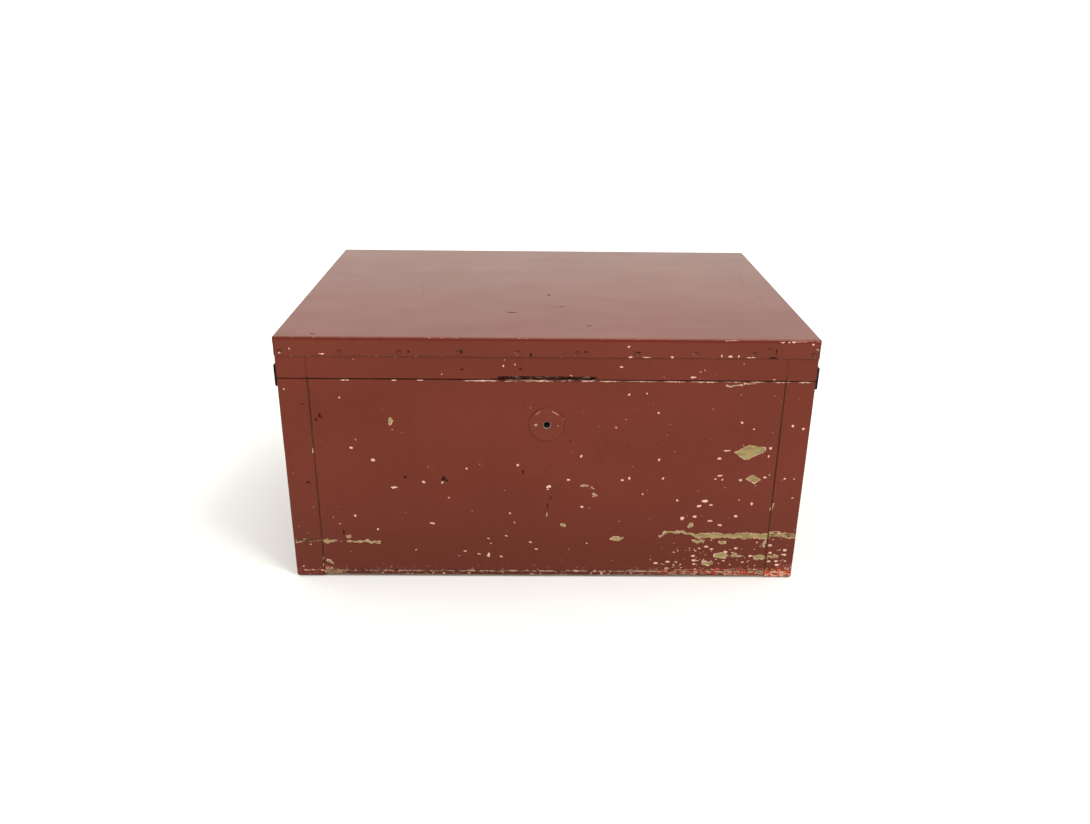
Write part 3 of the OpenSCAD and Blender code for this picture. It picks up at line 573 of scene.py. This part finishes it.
def dull_steel(name, base, roughness=0.42, rust=0.16):
    """Plain or zinc-plated steel, hand-scuffed and rusting a little in spots."""
    s = Shader(name, Metallic=1.0)
    scuffs = s.noise(2.2, 4, (6, 1, 1), 0.65)
    patches = s.noise(13, 3, shift=5)
    colour = s.mix(s.step(patches, 0.3, 0.7), base, [c * 0.72 for c in base])
    spots = s.step(s.noise(7, 4, roughness=0.65, shift=9), 0.62 - rust / 4, 0.76 - rust / 4)
    colour = s.mix(s.times(spots, min(1.0, 4 * rust)), colour, (0.16, 0.055, 0.022))
    rough = s.step(scuffs, 0.3, 0.7, roughness - 0.08, roughness + 0.1)
    rough = s.most(rough, s.times(spots, 0.75))
    metal = s.minus(1.0, s.times(spots, 0.8 * min(1.0, 4 * rust)))
    s.feed(s.surface.inputs["Metallic"], metal)
    return s.finish(colour, rough, s.plus(scuffs, spots), 0.03)


def black_enamel():
    """Black paint on the steel guides, rubbed to metal along the edges."""
    s = Shader("black_enamel", IOR=1.35, Specular_IOR_Level=0.15)
    edge = s.attribute("edge_mm")
    bite = s.noise(4, 3, shift=3)
    rubbed = s.step(s.minus(s.times(s.step(bite, 0.55, 0.75), 0.4), edge), 0.0, 0.15)
    colour = s.mix(s.step(s.noise(9, 3), 0.35, 0.7), (0.006, 0.006, 0.007), (0.014, 0.013, 0.013))
    colour = s.mix(rubbed, colour, (0.07, 0.065, 0.06))
    rough = s.step(s.noise(6, 3, shift=7), 0.3, 0.7, 0.5, 0.65)
    return s.finish(colour, rough, s.noise(3, 3, shift=11), 0.05)


def pale_floor():
    s = Shader("pale_floor", IOR=1.4)
    cloud = s.noise(700, 3)
    colour = s.mix(s.step(cloud, 0.3, 0.7), (0.86, 0.86, 0.85), (0.89, 0.89, 0.88))
    return s.finish(colour, s.step(cloud, 0.3, 0.7, 0.75, 0.85), s.noise(30, 4), 0.1)


# ---- Building pieces ----

def body_of(node):
    return next(body for body, nodes in BODIES.items() if node in nodes)


def add_piece(bm, node, materials, crisp=True):
    """Adds a mesh as the piece that stands for a CAD node, riding on the node's body."""
    if "edge_mm" not in bm.verts.layers.float:
        layer = bm.verts.layers.float.new("edge_mm")
        for v in bm.verts:
            v[layer] = FAR_FROM_EDGE
    mesh = bpy.data.meshes.new(node + "_piece")
    bm.to_mesh(mesh)
    bm.free()
    for material in materials:
        mesh.materials.append(material)
    mesh.shade_smooth()
    piece = bpy.data.objects.new(node + "_piece", mesh)
    bpy.context.scene.collection.objects.link(piece)
    if crisp:
        piece.modifiers.new("Flat faces", "WEIGHTED_NORMAL")
    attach(piece, body_of(node))
    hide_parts(node)
    return piece


def cad_copy(node):
    """A copy of a CAD node's mesh with whole faces and no stored normals."""
    bm = bmesh.new()
    bm.from_mesh(NODES[node].data)
    for layers in (bm.loops.layers.uv, bm.loops.layers.float_vector):
        for layer in list(layers.values()):
            layers.remove(layer)
    for face in bm.faces:
        face.material_index = 0
    bmesh.ops.remove_doubles(bm, verts=bm.verts, dist=1e-6)
    bmesh.ops.dissolve_limit(bm, angle_limit=math.radians(1), verts=bm.verts, edges=bm.edges)
    return bm


def corners(bm, degrees=30):
    return [e for e in bm.edges if len(e.link_faces) == 2 and e.calc_face_angle(0) > math.radians(degrees)]


def bevel(bm, edges, width, segments=2):
    bmesh.ops.bevel(bm, geom=edges, offset=width, segments=segments, profile=0.5, affect="EDGES",
                    clamp_overlap=True)


def slice_at(bm, axis, at):
    normal = Vector((0, 0, 0))
    normal[axis] = 1
    bmesh.ops.bisect_plane(bm, geom=bm.verts[:] + bm.edges[:] + bm.faces[:], dist=1e-6,
                           plane_co=normal * at, plane_no=normal)


def extent(bm, axis):
    places = [v.co[axis] for v in bm.verts]
    return min(places), max(places)


def shorten(bm, axis, gap):
    """Draws both ends of a mesh in by a gap along an axis."""
    low, high = extent(bm, axis)
    share = 1 - 2 * gap / (high - low)
    for v in bm.verts:
        v.co[axis] = (low + high) / 2 + (v.co[axis] - (low + high) / 2) * share


def measure_edges(bm, lines, most=FAR_FROM_EDGE * MM):
    """Stores each point's distance from the nearest of lines, in millimetres, as edge_mm."""
    layer = bm.verts.layers.float.new("edge_mm")
    for v in bm.verts:
        near = most
        for start, along, length in lines:
            t = min(max((v.co - start).dot(along), 0), length)
            near = min(near, (v.co - start - along * t).length)
        v[layer] = near / MM


def lines_of(edges):
    found = []
    for e in edges:
        span = e.verts[1].co - e.verts[0].co
        found.append((e.verts[0].co.copy(), span.normalized(), span.length))
    return found


def outside(centre, normal):
    """Is this a face of the timber that was painted, or of the worn finger recess?"""
    near = 3 * MM
    at_recess = abs(centre.x) < RECESS_HALF + 4 * MM and centre.y < FRONT + RECESS_DEEP
    if at_recess and LID_LOW - near < centre.z < LID_LOW + 7 * MM:
        return True
    side = abs(abs(centre.x) - HALF_W) < near and abs(normal.x) > 0.3
    ahead = abs(centre.y - FRONT) < near and normal.y < -0.3
    behind = abs(centre.y - BACK) < near and normal.y > 0.3
    return side or ahead or behind


def outside_edge(e):
    """Is this edge at the middle on one of the chest's four outer sides?"""
    middle = (e.verts[0].co + e.verts[1].co) / 2
    near = 1 * MM
    return abs(abs(middle.x) - HALF_W) < near or min(abs(middle.y - FRONT), abs(middle.y - BACK)) < near


def timber(node, bare, gaps=(), radius=0.8, step=30, feet=False, rim=False):
    """Timber with worn, slightly wandering edges: painted outside and bare inside."""
    bm = cad_copy(node)
    for axis, gap in gaps:
        shorten(bm, axis, gap * MM)
    lines = lines_of(corners(bm))
    if feet:
        low = [e for e in corners(bm) if all(v.co.z < 1 * MM for v in e.verts) and outside_edge(e)]
        bevel(bm, low, 5 * MM, 4)
    bevel(bm, corners(bm), radius * MM)
    for axis in (X, Y, Z):
        low, high = extent(bm, axis)
        span = high - low
        count = max(1, round(span / (step * MM)))
        places = [low + span * i / count for i in range(1, count)]
        margin = 3.5 * MM
        if span > 4 * margin:
            places += [low + margin, high - margin]
        for at in places:
            slice_at(bm, axis, at)
    measure_edges(bm, lines)
    seed = Vector((len(node), sum(map(ord, node)) % 97, 5))
    layer = bm.verts.layers.float["edge_mm"]
    for v in bm.verts:
        sway = noise.noise_vector(v.co * 9 + seed) * 0.25 * MM
        fray = noise.noise_vector(v.co * 60 + seed) * 0.35 * MM * max(0, 1 - v[layer] / 4)
        v.co += sway + fray
    bm.normal_update()
    for face in bm.faces:
        centre = face.calc_center_median()
        on_rim = rim and abs(centre.z - RIM) < 2 * MM and face.normal.z > 0.5
        face.material_index = 0 if outside(centre, face.normal) or on_rim else 1
    return add_piece(bm, node, [TIMBER_PAINT, bare])


def fitting(node, material, radius=0.3, near_mm=0):
    """A metal fitting: the CAD shape with its corners taken off."""
    bm = cad_copy(node)
    found = corners(bm)
    lines = lines_of(found) if near_mm else []
    bevel(bm, found, radius * MM)
    if near_mm:
        measure_edges(bm, lines, near_mm * MM)
    return add_piece(bm, node, [material])


def islands(node):
    """Each separate solid of a CAD node as its points, in an order that is the same each run."""
    bm = cad_copy(node)
    left = dict.fromkeys(bm.verts)
    found = []
    while left:
        group, queue = [], [left.popitem()[0]]
        while queue:
            v = queue.pop()
            group.append(v.co.copy())
            for e in v.link_edges:
                other = e.other_vert(v)
                if other in left:
                    del left[other]
                    queue.append(other)
        found.append(group)
    bm.free()
    return found


def fastener_place(points):
    """The middle of a fastener's head, and the direction in which it looks out."""
    low = Vector([min(p[a] for p in points) for a in (X, Y, Z)])
    high = Vector([max(p[a] for p in points) for a in (X, Y, Z)])
    centre = (low + high) / 2
    axis = max((X, Y, Z), key=lambda a: high[a] - low[a])

    def spread(at):
        return max((Vector([p[a] - centre[a] if a != axis else 0 for a in (X, Y, Z)]).length
                    for p in points if abs(p[axis] - at) < 0.3 * MM), default=0)

    sign = 1 if spread(high[axis]) > spread(low[axis]) else -1
    out = Vector((0, 0, 0))
    out[axis] = sign
    centre[axis] = high[axis] if sign > 0 else low[axis]
    return centre, out


def lathe(bm, profile, place, out, segments=32):
    """Turns (radius, height) points in millimetres about the line through place along out."""
    turn = Vector((0, 0, 1)).rotation_difference(out).to_matrix()
    rings = []
    for radius, height in profile:
        ring = []
        for k in range(segments):
            angle = 2 * math.pi * k / segments
            point = Vector((radius * math.cos(angle), radius * math.sin(angle), height)) * MM
            ring.append(bm.verts.new(place + turn @ point))
        rings.append(ring)
    for inner, outer in zip(rings, rings[1:]):
        for k in range(segments):
            nxt = (k + 1) % segments
            bm.faces.new((inner[k], inner[nxt], outer[nxt], outer[k]))
    return rings


def close(bm, ring, flip=False):
    bm.faces.new(ring[::-1] if flip else ring)


def dome(bm, place, out, radius, rise, skirt=0.6, segments=20):
    """A low round head, such as a tack's."""
    edge = bm.verts.layers.float.get("edge_mm") or bm.verts.layers.float.new("edge_mm")
    steps = 5
    arc = [(radius * math.cos(math.pi / 2 * k / steps), rise * math.sin(math.pi / 2 * k / steps))
           for k in range(steps)]
    rings = lathe(bm, [(radius, -skirt)] + arc + [(0.02, rise)], place, out, segments)
    close(bm, rings[0], flip=True)
    close(bm, rings[-1])
    for ring, inset in zip(rings, [0, 0.3] + [1.5 * k for k in range(1, len(rings) - 1)]):
        for v in ring:
            v[edge] = inset


def slotted_head(bm, place, out, radius, rise, angle, slot=0.5, depth=0.6):
    """A screw head with a driver's slot across it, proud by rise."""
    made = bmesh.new()
    turn = Vector((0, 0, 1)).rotation_difference(out).to_matrix().to_4x4()
    steps = 4
    edge = [(radius, -0.8), (radius, rise * 0.35)]
    edge += [(radius * (1 - 0.12 * k), rise * (0.35 + 0.65 * k / steps)) for k in range(1, steps + 1)]
    rings = lathe(made, edge, Vector((0, 0, 0)), Vector((0, 0, 1)), 28)
    close(made, rings[0], flip=True)
    close(made, rings[-1])
    for side in (-slot, slot):
        bmesh.ops.bisect_plane(made, geom=made.verts[:] + made.edges[:] + made.faces[:], dist=1e-7,
                               plane_co=(0, side * MM, 0), plane_no=(0, 1, 0))
    made.normal_update()
    floor = [f for f in made.faces if abs(f.calc_center_median().y) < slot * MM * 0.9 and f.normal.z > 0.3]
    sunk = bmesh.ops.extrude_face_region(made, geom=floor)
    for v in {v for v in sunk["geom"] if isinstance(v, bmesh.types.BMVert)}:
        v.co.z = (rise - depth) * MM
    bmesh.ops.delete(made, geom=floor, context="FACES")
    place_it = Matrix.Translation(place) @ turn @ Matrix.Rotation(angle, 4, "Z")
    bmesh.ops.transform(made, matrix=place_it, verts=made.verts)
    mesh = bpy.data.meshes.new("head")
    made.to_mesh(mesh)
    made.free()
    bm.from_mesh(mesh)
    bpy.data.meshes.remove(mesh)


def screws(node, material, radius, rise, sink=0.0):
    """The screws of a group: their heads, each turned its own way. Shanks are out of sight in the timber."""
    bm = bmesh.new()
    for number, points in enumerate(islands(node)):
        place, out = fastener_place(points)
        slotted_head(bm, place - out * sink * MM, out, radius, rise, 0.4 + 1.7 * number)
    return add_piece(bm, node, [material])


# ---- The case and the lid's timber ----

def case_timber():
    for back in ("front", "back"):
        for side in ("left", "right"):
            timber(f"corner_post_{back}_{side}", PINE[Z], radius=0.9, feet=True, rim=True)
    for side, run in (("front", X), ("back", X), ("left", Y), ("right", Y)):
        timber(f"{side}_panel", PLYWOOD[run], [(run, 1.0), (Z, 0.3)], rim=True)
    timber("bottom_board", PLYWOOD[X], [(Z, 0.25)], step=60)
    for level in ("top", "bottom"):
        for side, grain in (("front", X), ("back", X), ("left", Y), ("right", Y)):
            timber(f"{level}_rail_{side}", PINE[grain], step=80)
    for side in ("left", "right"):
        timber(f"floor_batten_{side}", PINE[Y], step=80)
    timber("lock_block", PINE[X], step=60)


def lid_timber():
    for back in ("front", "back"):
        for side in ("left", "right"):
            timber(f"lid_block_{back}_{side}", PINE[Z], radius=0.4)
    timber("lid_rail_front", PINE[X], [(X, 0.1)], radius=0.4, step=20)
    timber("lid_rail_back", PINE[X], [(X, 0.1)], radius=0.4)
    for side in ("left", "right"):
        timber(f"lid_rail_{side}", PINE[Y], [(Y, 0.1)], radius=0.4)
    timber("lid_top_board", PLYWOOD[X], step=80)


def panel_nails():
    """Sunk nails under the paint show as low spots of filler."""
    bm = bmesh.new()
    for points in islands("panel_nails"):
        place, out = fastener_place(points)
        dome(bm, place, out, 2.0, 0.18, segments=14)
    add_piece(bm, "panel_nails", [TIMBER_PAINT], crisp=False)


# ---- The cover sheet ----

def sheet_grid(low, high, radius, step):
    """Places along one axis: close together round the bent edges, and even between."""
    bend = [0, radius * 0.3, radius * 0.65, radius, radius + 3 * MM, radius + 8 * MM]
    count = max(1, round((high - low - 2 * bend[-1]) / step))
    inner_low, inner_high = low + bend[-1], high - bend[-1]
    middle = [inner_low + (inner_high - inner_low) * k / count for k in range(1, count)]
    return [low + b for b in bend] + middle + [high - b for b in bend[::-1]]


def cover_sheet():
    """One sheet bent down round all four sides, a little dished, puckered at the corners and dented."""
    radius = 2.8 * MM
    thickness = 1.2 * MM
    low, high = Vector(SHEET_LOW), Vector(SHEET_HIGH)
    xs = sheet_grid(low.x, high.x, radius, 14 * MM)
    ys = sheet_grid(low.y, high.y, radius, 14 * MM)
    flange = high.z - low.z
    zs = [high.z - flange * t for t in (1, 0.93, 0.82, 0.7, 0.55, 0.4, 0.32, 0.24, 0.15)]
    zs += [high.z - radius, high.z - radius * 0.65, high.z - radius * 0.3]
    bm = bmesh.new()
    made = {}

    def point(x, y, z):
        key = (round(x, 6), round(y, 6), round(z, 6))
        if key not in made:
            made[key] = bm.verts.new(key)
        return made[key]

    def quad(*places):
        bm.faces.new([point(*place) for place in places])

    for a, b in zip(xs, xs[1:]):
        for c, d in zip(ys, ys[1:]):
            quad((a, c, high.z), (b, c, high.z), (b, d, high.z), (a, d, high.z))
    levels = zs + [high.z]
    for e, f in zip(levels, levels[1:]):
        for a, b in zip(xs, xs[1:]):
            quad((a, low.y, e), (b, low.y, e), (b, low.y, f), (a, low.y, f))
            quad((b, high.y, e), (a, high.y, e), (a, high.y, f), (b, high.y, f))
        for c, d in zip(ys, ys[1:]):
            quad((low.x, d, e), (low.x, c, e), (low.x, c, f), (low.x, d, f))
            quad((high.x, c, e), (high.x, d, e), (high.x, d, f), (high.x, c, f))

    lines = []
    for start, end in (((low.x, low.y), (high.x, low.y)), ((high.x, low.y), (high.x, high.y)),
                       ((high.x, high.y), (low.x, high.y)), ((low.x, high.y), (low.x, low.y))):
        for level in (low.z, high.z):
            a, b = Vector((*start, level)), Vector((*end, level))
            lines.append((a, (b - a).normalized(), (b - a).length))
        a = Vector((*start, low.z))
        lines.append((a, Vector((0, 0, 1)), flange))
    measure_edges(bm, lines)

    tacks = [fastener_place(points)[0] for points in islands("cover_tacks")]
    inner_low = Vector((low.x + radius, low.y + radius, low.z - 1))
    inner_high = Vector((high.x - radius, high.y - radius, high.z - radius))
    for v in bm.verts:
        nearest = Vector([min(max(v.co[a], inner_low[a]), inner_high[a]) for a in (X, Y, Z)])
        away = v.co - nearest
        if away.length > 1e-9:
            v.co = nearest + away.normalized() * radius
    bm.normal_update()
    shifts = {v: sheet_shift(v.co, low, high, tacks) for v in bm.verts}
    for v, shift in shifts.items():
        v.co += shift
    piece = add_piece(bm, "lid_cover_sheet", [SHEET_PAINT], crisp=False)
    solid = piece.modifiers.new("Thickness", "SOLIDIFY")
    solid.thickness = thickness
    solid.offset = -1


def sheet_shift(p, low, high, tacks):
    """How far the cover's surface stands off a true box at p, in metres."""
    on_top = p.z > high.z - 3 * MM
    inset = min(p.x - low.x, high.x - p.x, p.y - low.y, high.y - p.y)
    if on_top and inset > 3 * MM:
        ease = min(1, (inset - 3 * MM) / (40 * MM))
        dent = noise.noise(Vector((p.x * 5, p.y * 6, 1.5))) * 0.5 + noise.noise(p * 15) * 0.1
        return Vector((0, 0, (dent - 0.6) * 0.5 * MM * ease))
    out = Vector((0, 0, 0))
    if p.y - low.y < 3 * MM:
        out.y = -1
    elif high.y - p.y < 3 * MM:
        out.y = 1
    elif p.x - low.x < 3 * MM:
        out.x = -1
    else:
        out.x = 1
    drop = high.z - p.z
    roll = math.exp(-((drop - 7 * MM) / (3.5 * MM)) ** 2) * 0.8
    wave = noise.noise(Vector((p.x * 14, p.y * 14, 3.3))) * 0.55 * min(1, drop / (18 * MM))
    ripple = noise.noise(Vector((p.x * 60, p.y * 60, p.z * 40))) * 0.18
    corner = max(0, 1 - (abs(abs(p.x) - HALF_W) + min(abs(p.y - low.y), abs(p.y - high.y))) / (60 * MM))
    pucker = corner * noise.noise(Vector((p.x * 90, p.y * 90, p.z * 120))) * 0.7
    reaches = [(p - tack).length for tack in tacks if (p - tack).length < 30 * MM]
    pressed = sum(math.exp(-(reach / (9 * MM)) ** 2) for reach in reaches) * 0.4
    amount = (roll + wave + ripple + pucker - pressed - 0.15) * MM
    lip = noise.noise(Vector((p.x * 20, p.y * 20, 9))) * 0.5 * MM if drop > 28 * MM else 0
    return out * amount + Vector((0, 0, lip))


def cover_tacks():
    bm = bmesh.new()
    for number, points in enumerate(islands("cover_tacks")):
        place, out = fastener_place(points)
        size = 3.3 + 0.5 * noise.noise(Vector((number * 3.7, 0, 0)))
        dome(bm, place - out * 0.8 * MM, out, size, 0.8, skirt=1.2)
    add_piece(bm, "cover_tacks", [SHEET_PAINT], crisp=False)


# ---- Lock furniture and fittings ----

def escutcheon():
    """A thin round plate, its edge softened by coats of paint."""
    low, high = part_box("escutcheon")
    rim = (high[X] - low[X]) / 2 / MM
    rise = (FRONT - low[Y]) / MM
    bm = bmesh.new()
    profile = [(7.4, 0), (7.4, rise - 0.25), (7.8, rise - 0.05), (9, rise)]
    profile += [(r, rise - 0.1 * math.sin(math.pi * (r - 9) / (rim - 10))) for r in (13, 18, 23, 27)]
    profile += [(rim - 1.4, rise - 0.02), (rim - 0.7, rise - 0.2), (rim - 0.2, rise - 0.7), (rim, 0)]
    lathe(bm, profile, KEY, Vector((0, -1, 0)), 96)
    layer = bm.verts.layers.float.new("edge_mm")
    for v in bm.verts:
        v[layer] = max(0, min(30, rim - (v.co - KEY).length / MM))
    add_piece(bm, "escutcheon", [SHEET_PAINT], crisp=False)


def keyhole_bush():
    low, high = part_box("keyhole_bush")
    reach = (FRONT - low[Y]) / MM
    length = (high[Y] - low[Y]) / MM
    bore, wall, lip = 6.0, 7.5, 8.7
    profile = [(bore, reach - length), (bore, reach - 0.5), (bore + 0.25, reach - 0.15), (bore + 0.7, reach)]
    profile += [(lip - 0.7, reach), (lip - 0.2, reach - 0.2), (lip, reach - 0.6), (wall, reach - 0.8)]
    profile += [(wall, reach - length), (bore, reach - length)]
    bm = bmesh.new()
    lathe(bm, profile[::-1], KEY, Vector((0, -1, 0)), 64)
    bmesh.ops.remove_doubles(bm, verts=bm.verts, dist=1e-6)
    for face in bm.faces:
        middle = face.calc_center_median()
        away = Vector((middle.x, 0, middle.z - KEY.z)).length
        face.material_index = 1 if away > 7.2 * MM and middle.y < FRONT else 0
    add_piece(bm, "keyhole_bush", [DARK_STEEL, SHEET_PAINT], crisp=False)


def fittings():
    paired = ("hinge_case_leaf", "hinge_lid_leaf", "hinge_pin", "stay_arm", "stay_pivot", "stay_guide")
    for side in ("left", "right"):
        for name in paired:
            fitting(f"{name}_{side}", STEEL, 0.25)
        fitting(f"lid_guide_{side}", BLACK, 0.3, near_mm=6)
    for name in ("lock_case", "lock_cover", "lock_bolt", "lock_follower", "strike_plate"):
        fitting(name, STEEL, 0.2)
    screws("lock_screws", STEEL, 3.9, 1.6, sink=1.6)
    screws("case_wood_screws", STEEL, 3.9, 0.25)
    screws("lid_wood_screws", STEEL, 3.9, 0.25)
    screws("escutcheon_screws", SHEET_PAINT, 3.2, 1.1, sink=1.1)


# ---- Floor, light and camera ----

def studio():
    bpy.ops.mesh.primitive_circle_add(vertices=128, radius=120, fill_type="NGON")
    floor = bpy.context.object
    floor.name = "floor"
    floor.data.materials.append(pale_floor())

    # A white room, brighter above and behind the chest than ahead of it
    world = bpy.data.worlds.new("studio")
    world.use_nodes = True
    tree = world.node_tree
    look = tree.nodes.new("ShaderNodeTexCoord").outputs["Generated"]
    ahead = tree.nodes.new("ShaderNodeVectorMath")
    ahead.operation = "DOT_PRODUCT"
    ahead.inputs[1].default_value = (0, 0.75, 0.66)
    tree.links.new(look, ahead.inputs[0])
    fade = tree.nodes.new("ShaderNodeMapRange")
    fade.interpolation_type = "SMOOTHSTEP"
    for name, value in {"From Min": -0.5, "From Max": 0.6, "To Min": 0.72, "To Max": 1.4}.items():
        fade.inputs[name].default_value = value
    tree.links.new(ahead.outputs["Value"], fade.inputs["Value"])
    tree.links.new(fade.outputs[0], tree.nodes["Background"].inputs["Strength"])
    tree.nodes["Background"].inputs["Color"].default_value = (0.985, 0.985, 0.935, 1)
    bpy.context.scene.world = world

    for name, place, aim, size, power in (
        ("key", (1.4, -1.7, 3.4), (0, -0.3, 0.1), 0.9, 59),
        ("fill", (-1.2, -2.6, 2.6), (0, -0.3, 0.1), 2.0, 7),
    ):
        lamp = bpy.data.lights.new(name, "AREA")
        lamp.size = size
        lamp.energy = power
        obj = bpy.data.objects.new(name, lamp)
        obj.location = place
        obj.rotation_euler = (Vector(aim) - Vector(place)).to_track_quat("-Z", "Y").to_euler()
        bpy.context.scene.collection.objects.link(obj)


def photo_camera():
    """A wide view from just above the chest, a little left of its middle, looking down at it."""
    yaw, pitch, roll = (math.radians(a) for a in (-0.81, 22.53, -0.66))
    level = Vector((-math.sin(yaw), math.cos(yaw), 0))
    right = Vector((math.cos(yaw), math.sin(yaw), 0))
    ahead = level * math.cos(pitch) - Vector((0, 0, math.sin(pitch)))
    down = ahead.cross(right)
    across = right * math.cos(roll) + down * math.sin(roll)
    below = down * math.cos(roll) - right * math.sin(roll)
    camera = bpy.data.cameras.new("camera")
    camera.lens = 30.6
    obj = bpy.data.objects.new("camera", camera)
    turn = Matrix((across, -below, -ahead)).transposed()
    obj.matrix_world = Matrix.Translation((-0.0238, FRONT - 1.4474, 0.9266)) @ turn.to_4x4()
    bpy.context.scene.collection.objects.link(obj)
    bpy.context.scene.camera = obj


TIMBER_PAINT = worn_timber_paint()
SHEET_PAINT = worn_sheet_paint()
PINE = [bare_wood("pine_" + "xyz"[axis], axis, (0.56, 0.36, 0.17), (0.36, 0.19, 0.075)) for axis in (X, Y, Z)]
PLYWOOD = [bare_wood("plywood_" + "xyz"[axis], axis, (0.49, 0.32, 0.165), (0.38, 0.23, 0.11))
           for axis in (X, Y, Z)]
STEEL = dull_steel("zinc_steel", (0.46, 0.45, 0.43))
DARK_STEEL = dull_steel("dark_steel", (0.38, 0.36, 0.33), 0.4, 0.08)
BLACK = black_enamel()

photo_camera()
studio()
case_timber()
lid_timber()
panel_nails()
cover_sheet()
cover_tacks()
escutcheon()
keyhole_bush()
fittings()
bpy.context.scene.view_settings.view_transform = "Standard"
